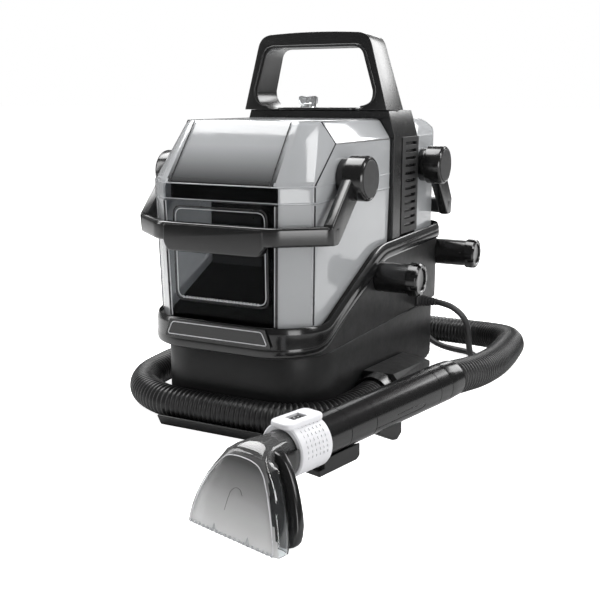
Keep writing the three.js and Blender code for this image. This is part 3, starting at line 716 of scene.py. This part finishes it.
def misty_walls_and_painted_shade(obj):
    """Makes the walls milky but for the front window, and paints the floor and the front tank's rear wall
    black as painted shade.
    """
    obj.data.materials.append(MISTY)
    obj.data.materials.append(PAINTED_SHADE_BLACK)
    floor_top, window_back, rear_wall, large = 0.176, -0.15, (0, 0.06), 0.004    # in metres
    for face in obj.data.polygons:
        n, (_, y, z) = face.normal, face.center
        window = abs(n.y) > 0.9 and y < window_back
        # The floor and the front tank's large rear wall faces get the painted shade black.
        inner_rear = n.y < -0.9 and rear_wall[0] < y < rear_wall[1] and face.area > large
        if inner_rear or (z < floor_top and abs(n.z) > 0.5):
            face.material_index = 2
        elif not window:
            face.material_index = 1
    return obj


def front_tank_body():
    """The whole tank with its lid, rounded, still solid."""
    t = FRONT_TANK
    half, front, rear, _, roof = extent("front_tank_lid")
    split, low, draft = extent("front_tank")[4], t["low"], t["draft"]
    points = [
        (t["nose"] - draft, front + draft, low), (half - draft, t["cheek"] + draft, low),
        (half - draft, rear, low),
        (t["nose"], front, split), (half, t["cheek"], split), (half, rear, split),
        (t["nose"], front, t["waist"]), (half, t["cheek"], t["waist"]),
        (half, -112, ROOF["shoulder"]), (half, rear, ROOF["shoulder"]),
        (ROOF["half"], -116, roof), (ROOF["half"], rear, roof), (63.6, -135, roof),
    ]
    body = hull_shape("front_tank_body", [(s * x, y, z) for x, y, z in points for s in (1, -1)])
    return bevelled(body, 4.5, 5, 9, even=False)


def make_front_tank():
    split = extent("front_tank")[4]
    gap = extent("front_tank_lid")[3]
    lower = front_tank_body()
    cut(lower, box_shape((-200, -300, split), (200, 200, 400)))
    cut(lower, under_deck(0.6))
    hollowed(lower, 2, split)
    stand_in(lower, "front_tank", 30)
    misty_walls_and_painted_shade(lower)
    lower.data.materials[0] = WINDOW

    lid = front_tank_body()
    cut(lid, box_shape((-200, -300, 0), (200, 200, gap)))
    hollowed(lid, 2, gap)
    stand_in(lid, "front_tank_lid", 30)
    misty_walls_and_painted_shade(lid)
    lid.data.materials[0] = WINDOW
    lid.data.materials.append(DOME)
    for face in lid.data.polygons:
        x, _, z = face.center
        if face.normal.y < -0.6 and 0.25 < z < 0.31 and abs(x) < 0.066 and abs(face.normal.x) < 0.1:
            face.material_index = 3
    tank_lines()


def line_piece(name, points, radius, body, material, slot="clear_plastic", matrix=None):
    """A thin round bead along a line of points."""
    line = [Vector(p) for p in points]
    bead = swept(name, line, [radius] * len(line), 8)
    return dress(smooth(placed(bead, matrix), 60), body, slot, material=material)


def tank_lines():
    """Painted shade and highlight lines where the clear walls turn, the seal's lips, and the moulded window
    drawn as a painted shade line with a painted highlight line inside it.
    """
    edges = [
        ("front_lid", [(65.9, -183.2, 233), (65.9, -183.2, 249), (64.4, -136.2, 309.2)], 0.8),
        ("front_lid", [(93.1, -157.4, 233), (93.1, -157.3, 249), (93, -112.4, 287), (79, -116, 308.6)], 0.7),
        ("front_lid", [(93, -112.4, 287.2), (93.1, 28, 287.2)], 0.5),
        ("front_lid", [(63.5, -135.2, 308.9), (79, -116, 308.9), (79, 28, 308.9)], 0.4),
        ("front_tank", [(65.2, -182.7, 230.5), (62.7, -180, 112)], 0.8),
        ("front_tank", [(93.1, -157.4, 230.5), (90.5, -154.8, 112)], 0.7),
    ]
    for k, (body, points, radius) in enumerate(edges):
        for side in (1, -1):
            line = [(side * x, y, z) for x, y, z in points]
            # A painted shade line along each turn of the clear walls.
            line_piece(f"edge_{k}_{side}", line, radius, body, SHADE_LINES_AND_DARK_PARTS)
            shift = Vector((-side * 2.2, -0.05, 0)) if k in (0, 4) else Vector((-side * 1.5, -1.1, 0))
            if k not in (2, 3):
                # A painted highlight line beside each dark edge line.
                glint = [Vector(p) + shift for p in line]
                line_piece(f"glint_{k}_{side}", glint, radius * 0.7, body, GLINT_LINES_AND_LIGHT_TRIM)
    for side in (1, -1):
        # Painted shade lines along the lid's creases.
        crease = [(side * 57.5, -183.4, 249), (side * 56.5, -137.4, 308.4)]
        line_piece(f"crease_{side}", crease, 0.6, "front_lid", SHADE_LINES_AND_DARK_PARTS)
    for name, z, radius in (("waist", 248.6, 0.6), ("split", 233.2, 0.5)):
        points = [(-93.5, 28), (-93.5, -157.6), (-65.5, -183.1), (65.5, -183.1), (93.5, -157.6),
                  (93.5, 28)]
        line_piece(name + "_line", [(x, y, z) for x, y in points], radius, "front_lid", MISTY)
    half, tall, mid = 54, 48, 178
    window = rounded_line_loop([(-half, mid - tall), (half, mid - tall), (half, mid + tall),
                                (-half, mid + tall)], 9, 8)
    # The window's edge: a painted shade line outside and a painted highlight line inside.
    for name, inset, radius, material in (("dark", 0, 0.8, SHADE_LINES_AND_DARK_PARTS), ("light", 2.4, 0.5, GLINT_LINES_AND_LIGHT_TRIM)):
        loop = []
        for x, z in window:
            u = x * (half - inset) / half
            w = mid + (z - mid) * (tall - inset) / tall
            loop.append((u, -183.2 + 3 * (231.5 - w) / 131.5 + 0.1, w))
        line_piece("window_" + name, loop + [loop[0]], radius, "front_tank", material)
    # The window's teeth are drawn in the light bead colour: a painted highlight on clear plastic.
    teeth = [box_shape((x, -181.4, 131.5), (x + 1.4, -180.2, 134)) for x in range(-46, 46, 4)]
    dress(placed(merged("window_teeth", teeth)), "front_tank", "clear_plastic", material=GLINT_LINES_AND_LIGHT_TRIM)


def merged(name, objects):
    """Joins several meshes into one."""
    shape = bmesh.new()
    for obj in objects:
        shape.from_mesh(obj.data)
        bpy.data.objects.remove(obj)
    return from_bmesh(name, shape)


def make_rear_tank():
    half, front, rear, bottom, roof = extent("rear_tank")
    right = [(half - 1.5, bottom), (half, PIVOT_Z), (half, ROOF["shoulder"]), (ROOF["half"], roof)]
    outline = [(-right[0][0], bottom)] + right + [(-x, z) for x, z in right[:0:-1]]
    body = hull_shape("rear_tank_body", [(x, y, z) for x, z in outline for y in (front, rear)])
    round_rear = {"corner": 30, "rear_corner": 30}
    plan = lofted("plan", plan_stack(half, front - 100, rear, round_rear, [(0, 100), (0, 400)]))
    cut(body, plan, "INTERSECT")
    side = [(front, bottom), (rear - 4, bottom), (rear, 262)]
    steps = 12
    for t in [k / steps for k in range(1, steps + 1)]:
        y = rear * (1 - t) ** 2 + (rear - 3) * 2 * t * (1 - t) + (rear - 36) * t * t
        z = 262 * (1 - t) ** 2 + (roof - 2) * 2 * t * (1 - t) + roof * t * t
        side.append((y, z))
    side.append((front, roof))
    profile = lofted("profile", [[(x, y, z) for y, z in side] for x in (-120, 120)])
    cut(body, profile, "INTERSECT")
    bevelled(body, 2.5, 4, 30, even=False)
    cap, _ = middle("rear_fill_cap")
    neck_radius = neck_depth = 12
    bored(body, neck_radius, (rear - neck_depth, rear + 20), "y", (cap.x, 0, cap.z))
    hollowed(body, 1, rear - neck_depth, even=False)
    stand_in(body, "rear_tank", 30)
    misty_walls_and_painted_shade(body)


# ---------- bails, handle and posts
def slab(name, outline, low, high, axis="x"):
    """A flat (u, v) outline given thickness from low to high along an axis."""
    return lofted(name, [[ON_AXIS[axis](u, v, w) for u, v in outline] for w in (low, high)])


HUB = {"r": 22.7, "inner": 102.5, "outer": 123.8, "recess_r": 19.4, "recess": 2}
BOSS = {"pin_r": 7.1, "pin_end": 117.4}
ARM = (102.5, 113.5)


def make_bail(name, facing, far, cheek, low):
    """A bent flat bar: grip bar across the tank, arms up to hubs on both sides."""
    y0 = PIVOTS[name.split("_")[0]]

    def at(distance):
        return y0 + facing * distance

    plan = [(-108, cheek - 13), (-108, cheek - 2.5), (-64, far - 6), (64, far - 6), (108, cheek - 2.5),
            (108, cheek - 13)]
    plan = [Vector(point) for point in plan]
    centre = [plan[0]]
    for before, point, after, reach in zip(plan, plan[1:], plan[2:], (5, 9, 9, 5)):
        a = point + (before - point).normalized() * reach
        b = point + (after - point).normalized() * reach
        centre += bend(a, point, b, 8)
    centre.append(plan[-1])
    section = rounded_line_loop([(-5.6, low), (5.6, low), (5.6, low + 19), (-5.6, low + 19)], 3.8, 6)
    rings = []
    for k, point in enumerate(centre):
        along = (centre[min(k + 1, len(centre) - 1)] - centre[max(k - 1, 0)]).normalized()
        across = Vector((along.y, -along.x))
        rings.append([(point.x + across.x * u, at(point.y + across.y * u), z) for u, z in section])
    grip_bar = lofted("grip_bar", rings)

    outline = rounded_line_loop([(-58, low + 17.5), (-58, low - 1), (-53, low - 10), (53, low - 10),
                                 (58, low - 1), (58, low + 17.5)], 4, 5)
    grip = slab("grip", outline, *sorted((at(far + 0.1), at(far - 12.3))), axis="y")
    bevelled(grip, 2.4, 4, 35, False)
    pieces = [grip_bar, grip]
    for side in (1, -1):
        side_line = [(at(cheek), low), (at(cheek - 13), low), (at(6), PIVOT_Z - 20), (at(22), PIVOT_Z + 2),
                     (at(cheek + 2), low + 19)]
        arm = slab("arm", rounded_line_loop(side_line, 3, 4), *sorted((side * ARM[0], side * ARM[1])))
        pieces.append(bevelled(arm, 3, 5, 35, False))
        r, inner, outer = HUB["r"], HUB["inner"], HUB["outer"]
        profile = [(BOSS["pin_r"], inner), (r - 1, inner), (r, inner + 1), (r, outer - 3),
                   (r - 0.6, outer - 1.4), (r - 2, outer), (HUB["recess_r"] + 0.6, outer),
                   (HUB["recess_r"], outer - 0.6), (HUB["recess_r"], outer - HUB["recess"]),
                   (BOSS["pin_r"], outer - HUB["recess"])]
        pieces.append(lathe("hub", [(radius, side * x) for radius, x in profile], "x", (0, y0, PIVOT_Z), 72,
                            closed=True))
    low_x, high_x = BOSS["pin_end"], HUB["outer"] - HUB["recess"] + 0.2
    for side in (1, -1):
        stop = [(BOSS["pin_r"] + 0.4, side * low_x), (BOSS["pin_r"] + 0.4, side * high_x)]
        pieces.append(lathe("stop", stop, "x", (0, y0, PIVOT_Z), 48))
    bail = merged(name + "_skin", pieces)
    stand_in(bail, name, 38)


def make_handle():
    _, front, _, foot, _ = extent("carry_handle")
    right = [(91, foot)] + bend((72.3, 388), (69, 401.5), (56, 403), 10)
    right += bend((56, 403), (28, 404.8), (0, 404.8), 10)[1:]
    inner = [(52, foot)] + bend((52, foot + 1.2), (75, 321), (73.6, 340), 10)
    inner += bend((62.5, 377), (60, 387.6), (49, 388), 10)
    outline = right + [(-x, z) for x, z in right[-2::-1]] + [(-x, z) for x, z in inner] + inner[::-1]
    arch = slab("arch", outline, front, 90, "y")
    side = [(front - 5, 300), (74, 300), (60, 410), (front - 5, 410)]
    cut(arch, slab("side", side, -120, 120), "INTERSECT")
    bevelled(arch, 3.2, 5, 40, False)
    stand_in(arch, "carry_handle", 35)
    lip = [Vector((x, front - 0.1, z)) for x, z in [(-x * 1.05, z + 2) for x, z in inner[2:]][::-1]]
    lip = [Vector((x * 1.05, front - 0.1, z + 2)) for x, z in inner[2:]] + lip
    line_piece("grip_lip", lip, 1.1, "root", LOOKS["satin_black"], "satin_black")

    centre, reach = middle("release_knob")
    bottom, top = centre.z - reach.z, centre.z + reach.z
    profile = [(8.4, bottom), (9, bottom + 0.6), (9, bottom + 3.6), (10.6, bottom + 4.2), (11, bottom + 5),
               (11, top - 1.2), (10.2, top - 0.3), (8, top)]
    knob = lathe("knob", profile, "z", (centre.x, centre.y, 0), 64)
    flutes = 12
    for k in range(flutes):
        angle = 2 * pi * k / flutes
        spot = (centre.x + 11.4 * cos(angle), centre.y + 11.4 * sin(angle), 0)
        bored(knob, 1.2, (bottom + 3, top + 2), "z", spot, 16)
    stand_in(knob, "release_knob", 35)


def make_posts():
    for end in ("front", "rear"):
        (x, y, z), reach = middle("wrap_cap_" + end)
        start, finish, r = x - reach.x, x + reach.x, reach.z
        profile = [(r - 1.2, start), (r, start + 1.2), (r - 0.6, finish - 2), (r - 2.2, finish),
                   (13.2, finish), (12.4, finish - 0.8), (12.4, finish - 2.2), (0.5, finish - 2.2)]
        cap = lathe("cap", profile, "x", (0, y, z), 96)
        notches = 8
        for k in range(notches):
            angle = (k + 0.5) * 2 * pi / notches
            notch = box_shape((finish - 7, -2, r - 3.4), (finish + 2, 2, r + 4))
            notch.data.transform(Matrix.Translation((0, y, z)) @ Matrix.Rotation(angle, 4, "X"))
            cut(cap, notch)
        bevelled(cap, 0.5, 2, 50, False)
        stand_in(cap, "wrap_cap_" + end, 35)
        soften("wrap_post_" + end, 0.6, 2)


# ---------- wand and nozzle
NOZZLE_FLOOR = -54.6
# Height above the floor, half width, front face y, at points up the nozzle's clear front.
NOZZLE_FRONT = [(0, 50.6, -100.3), (4, 50.2, -99.8), (12, 48.6, -98.4), (22, 45.6, -96.5), (32, 41.4, -94),
                (42, 36.4, -91), (50, 31.2, -88.3), (56, 26.4, -86.2)]
# y, z, half width, half depth, lean in degrees: the sections where the nozzle bends into its neck.
NOZZLE_NECK = [(-75.2, 5.6, 22, 9.6, 25), (-70, 5.6, 18.8, 12, 50), (-63, 3.5, 17.2, 14, 75),
               (-54, 2, 16.3, 15, 90), (-42.6, 2, 15.8, 15.2, 90), (-20, 2, 15.4, 15.2, 90),
               (-8, 2, 15.2, 15.2, 90)]
# Height above the floor and half width, at points up the black frame behind the nozzle.
FRAME_FOOT = [(0, 46), (1.2, 48.5), (4, 50.4), (9, 51), (16, 50.6), (24, 48.2), (34, 44), (44, 38.8),
              (52, 33.6), (58, 28.6), (63, 22.5), (65, 17)]


def section_ring(y, z, half, depth, lean, power, count=64):
    """A rounded oblong in a plane that leans from level (0) to upright (90)."""
    tilt = radians(lean)
    ring = []
    for k in range(count):
        angle = 2 * pi * k / count
        c, s = cos(angle), sin(angle)
        u = half * abs(c) ** (2 / power) * (1 if c >= 0 else -1)
        v = depth * abs(s) ** (2 / power) * (1 if s >= 0 else -1)
        ring.append((u, y + v * cos(tilt), z - v * sin(tilt)))
    return ring


def seam(height):
    """y of the joint between the clear front and the black frame."""
    return -85 + 0.26 * height


def nozzle_rings(inset):
    """The nozzle's sections, nearly square at the mouth and round at the neck."""
    rings = []
    for height, half, front in NOZZLE_FRONT:
        back = seam(height)
        rings.append(section_ring((front + back) / 2, NOZZLE_FLOOR + height, half - inset,
                                  (back - front) / 2 - inset, 0, 7))
    for power, (y, z, half, depth, lean) in zip((5, 3.4, 2.6, 2.2, 2, 2, 2), NOZZLE_NECK):
        rings.append(section_ring(y, z, half - inset, depth - inset, lean, power))
    return rings


def make_nozzle():
    outer, inner = nozzle_rings(0), nozzle_rings(1.6)
    shell = looped("nozzle", outer + inner[::-1])
    kinds = []
    for face in shell.data.polygons:
        x, y, z = face.center
        height = z - NOZZLE_FLOOR
        front = face.normal.y < -0.6 and y < seam(height) - 8
        if front and 1 < height < 62 and abs(x) < 52 - 0.45 * height:
            kinds.append(1)
        else:
            kinds.append(2 if y > -84 and height > 56.2 else 0)
    stand_in(shell, "nozzle_window", 40, NOZZLE_FRAME)
    shell.data.materials.append(NOZZLE_PANEL)
    shell.data.materials.append(SMOKE)
    for face, kind in zip(shell.data.polygons, kinds):
        face.material_index = kind

    def front_at(height):
        for (h0, w0, y0), (h1, w1, y1) in zip(NOZZLE_FRONT, NOZZLE_FRONT[1:]):
            if h0 <= height <= h1:
                t = (height - h0) / (h1 - h0)
                return w0 + (w1 - w0) * t, y0 + (y1 - y0) * t
        return 20, -85.6 + (height - 56) * 0.2

    arch = [(side * (front_at(h)[0] - 4.5), front_at(h)[1] - 0.1, NOZZLE_FLOOR + h)
            for side, heights in ((-1, range(2, 55, 4)), (1, range(54, 1, -4))) for h in heights]
    crown = ((-18, -85.9, 59), (-11, -85.3, 61.2), (0, -85.1, 62), (11, -85.3, 61.2), (18, -85.9, 59))
    arch[14:14] = [(x, y, NOZZLE_FLOOR + h) for x, y, h in crown]
    # A painted highlight line along the clear panel's edge.
    line_piece("panel_line", catmull(arch, 4), 0.45, "nozzle", GLINT_LINES_AND_LIGHT_TRIM, matrix=NOZZLE_FRAME)
    # The panel's embossed arch is drawn as a painted shade line.
    emboss = [(-9, 20), (-7, 30), (-5, 36), (-1, 39), (4, 38.5), (7, 35)]
    line = [Vector((x, front_at(h)[1] - 0.05, NOZZLE_FLOOR + h)) for x, h in emboss]
    line_piece("panel_arch", catmull(line, 5), 0.14, "nozzle", SHADE_LINES_AND_DARK_PARTS, matrix=NOZZLE_FRAME)
    teeth = [box_shape((x, -101.2, NOZZLE_FLOOR + 0.3), (x + 2.2, -99.6, NOZZLE_FLOOR + 2.4))
             for x in range(-46, 46, 5)]
    for x in (-18, 19):
        hook = [(x - 2.4, -99.8, 2), (x + 2.4, -99.8, 2), (x, -102, 3), (x, -99.4, 8)]
        teeth.append(hull_shape("hook", [(a, b, NOZZLE_FLOOR + height) for a, b, height in hook]))
    lip = bevelled(merged("nozzle_teeth", teeth), 0.3, 2, 30, False)
    dress(placed(lip, NOZZLE_FRAME), "nozzle", "clear_plastic", material=MISTY)

    rings = []
    for height, half in FRAME_FOOT:
        front, back = seam(height) + 0.3, -70 + 0.19 * height
        rings.append(section_ring((front + back) / 2, NOZZLE_FLOOR + height + 0.2, half,
                                  (back - front) / 2, 0, 4.5))
    back = lofted("nozzle_frame", rings)
    bored(back, 15, (-90, -30), "y", (0, 0, 2))
    rings = []
    for k in range(41):
        angle = radians(160 + 220 * k / 40)
        c, s = cos(angle), sin(angle)
        wall = [(16.2, -43), (21.2, -43), (22, -44), (22.4, -50), (23, -58), (24, -66), (16.2, -66)]
        rings.append([(r * c, y, r * s) for r, y in wall])
    seat = lofted("collar_seat", rings)
    whole = merged("nozzle_back_skin", [back, seat])
    stand_in(whole, "nozzle_back", 35, NOZZLE_FRAME)


def make_collar():
    profile = [(17.4, -41), (18.2, -42), (21.6, -42), (22.8, -41), (23.1, -39.4), (22.6, -6.4),
               (22, -4.8), (20.6, -4), (18.2, -4), (17.4, -4.8)]
    ring = lathe("collar", profile, "y", (0, 0, 0), 96, closed=True)
    outline = rounded_line_loop([(-11.5, -46), (11.5, -46), (11.5, -1.5), (-11.5, -1.5)], 7.5, 8)
    tab = bevelled(slab("tab", outline, 19.4, 25, "z"), 1.8, 4, 40, False)
    ticks = []
    for row in range(6):
        for k in range(5, 16):
            tick = box_shape((-1.1, -12 - row * 4.6, 22.5), (1.1, -11.2 - row * 4.6, 23.5))
            tick.data.transform(Matrix.Rotation(radians(150 - 11 * k), 4, "Y"))
            ticks.append(tick)
    for pierced in (tab, ring):
        cut(pierced, box_shape((-5.3, -33, 10), (5.3, -17, 30)))
    whole = merged("collar_skin", [ring, tab] + ticks)
    stand_in(whole, "nozzle_collar", 38, NOZZLE_FRAME)
    button = soften("nozzle_button", 0.8, 3)
    button.data.materials[0] = SHADE_LINES_AND_DARK_PARTS


def make_wand():
    start, end, rear = -2.6, 176.7, 199
    profile = [(14, start), (16.8, start), (17.6, start + 0.8)]
    for at in (26, 60, 158):
        r = 17.7 + 0.8 * (at - start) / (end - start)
        profile += [(r, at - 0.5), (r - 0.5, at - 0.2), (r - 0.5, at + 0.2), (r, at + 0.5)]
    profile += [(18.5, end - 0.6), (18, end), (14, end)]
    body = lathe("wand", profile, "y", (0, 0, 0), 96)
    cut(body, box_shape((-7.3, 72, -30), (7.3, 115, -4)))
    stand_in(body, "wand_body", 30, WAND_FRAME)
    profile = [(17.6, 177), (18.3, 177.6), (18.5, 180), (18.4, 187), (18, rear - 6), (17.9, rear - 1.5),
               (17.7, rear), (17.2, rear), (17.1, rear - 10), (14, rear - 10), (14, 177)]
    cap = lathe("wand_cap", profile, "y", (0, 0, 0), 96, closed=True)
    stand_in(cap, "wand_end_cap", 30, WAND_FRAME)

    def on_wand(y, angle):
        r = 17.75 + 0.8 * (y - start) / (end - start)
        return Vector((r * cos(radians(angle)), y, r * sin(radians(angle))))

    seam_line = [(60, -22), (100, -22), (124, -22), (130, -19), (132, -14), (130, -9), (124, -6), (90, -6)]
    notch = [(158, 96), (152, 96), (152, 88), (134, 88)]
    for name, points in (("wand_seam", catmull([on_wand(y, a) for y, a in seam_line], 6)),
                         ("wand_notch", [on_wand(y, a) for y, a in notch])):
        line_piece(name, points, 0.35, "root", SHADE_LINES_AND_DARK_PARTS, "wand_gloss", WAND_FRAME)
    soften("wand_trigger", 2.2, 4)
    soften("wand_guard", 2.0, 4)


# ---------- stage and light
def camera_ray(tree):
    return tree.nodes.new("ShaderNodeLightPath").outputs["Is Camera Ray"]


def make_stage():
    """A pale floor and surround, bright to the camera and dimmer in reflections, and soft boxes."""
    material, tree, shader = blank("floor")
    shader.inputs["Base Color"].default_value = (0.85, 0.85, 0.85, 1)
    shader.inputs["Roughness"].default_value = 0.9
    shader.inputs["Specular IOR Level"].default_value = 0.1
    shader.inputs["Emission Color"].default_value = (1, 1, 1, 1)
    shader.inputs["Emission Strength"].default_value = 0.9
    dim = tree.nodes.new("ShaderNodeBsdfDiffuse")
    dim.inputs["Color"].default_value = (0.7, 0.7, 0.7, 1)
    mix = tree.nodes.new("ShaderNodeMixShader")
    tree.links.new(camera_ray(tree), mix.inputs["Fac"])
    tree.links.new(dim.outputs["BSDF"], mix.inputs[1])
    tree.links.new(shader.outputs["BSDF"], mix.inputs[2])
    tree.links.new(mix.outputs["Shader"], tree.nodes["Material Output"].inputs["Surface"])
    floor = raw("floor", [(-30, -30, 0), (30, -30, 0), (30, 30, 0), (-30, 30, 0)], [[0, 1, 2, 3]])
    floor.data.materials.append(material)

    world = bpy.data.worlds.new("studio")
    world.use_nodes = True
    scene.world = world
    tree = world.node_tree
    mix = tree.nodes.new("ShaderNodeMix")
    mix.data_type = "FLOAT"
    mix.inputs["A"].default_value = 0.18
    mix.inputs["B"].default_value = 1.0
    tree.links.new(camera_ray(tree), mix.inputs["Factor"])
    tree.links.new(mix.outputs["Result"], tree.nodes["Background"].inputs["Strength"])
    tree.nodes["Background"].inputs["Color"].default_value = (1, 1, 1, 1)
    scene.view_settings.view_transform = "Standard"

    def softbox(name, place, target, size, power):
        data = bpy.data.lights.new(name, "AREA")
        data.shape = "RECTANGLE"
        data.size, data.size_y = size
        data.energy = power
        lamp = bpy.data.objects.new(name, data)
        lamp.location = place
        aim = Vector(target) - Vector(place)
        lamp.rotation_euler = aim.to_track_quat("-Z", "Y").to_euler()
        scene.collection.objects.link(lamp)

    # name, place, what it points at, size, watts
    softbox("top", (-0.55, 0.15, 1.5), (0, 0, 0.2), (1.1, 1.5), 44)
    softbox("right_high", (1.35, 0.05, 1.15), (0, 0, 0.15), (0.35, 1.2), 11)
    softbox("back", (-0.8, 1.95, 1.0), (0.1, -0.1, 0.15), (1.2, 0.5), 9)
    softbox("right_front", (1.5, -1.3, 0.35), (0, 0, 0.12), (0.8, 0.9), 13)
    softbox("back_right", (0.9, 1.65, 1.1), (0, 0, 0.15), (1.0, 0.9), 20)
    softbox("left", (-1.6, -0.9, 0.8), (0, 0, 0.2), (0.4, 1.2), 9)


for make in (make_camera, make_hose, make_lead, make_base, make_housing, make_belt, make_front_tank,
             make_rear_tank):
    make()
make_bail("front_bail", -1, 102.4, 63.6, 192.5)
make_bail("rear_bail", 1, 79, 57, 188)
for make in (make_handle, make_posts, make_nozzle, make_collar, make_wand):
    make()
for name in sorted(frame["nodes"]):
    node = frame["nodes"][name]
    if not node.hide_render:
        soften(name)
make_stage()
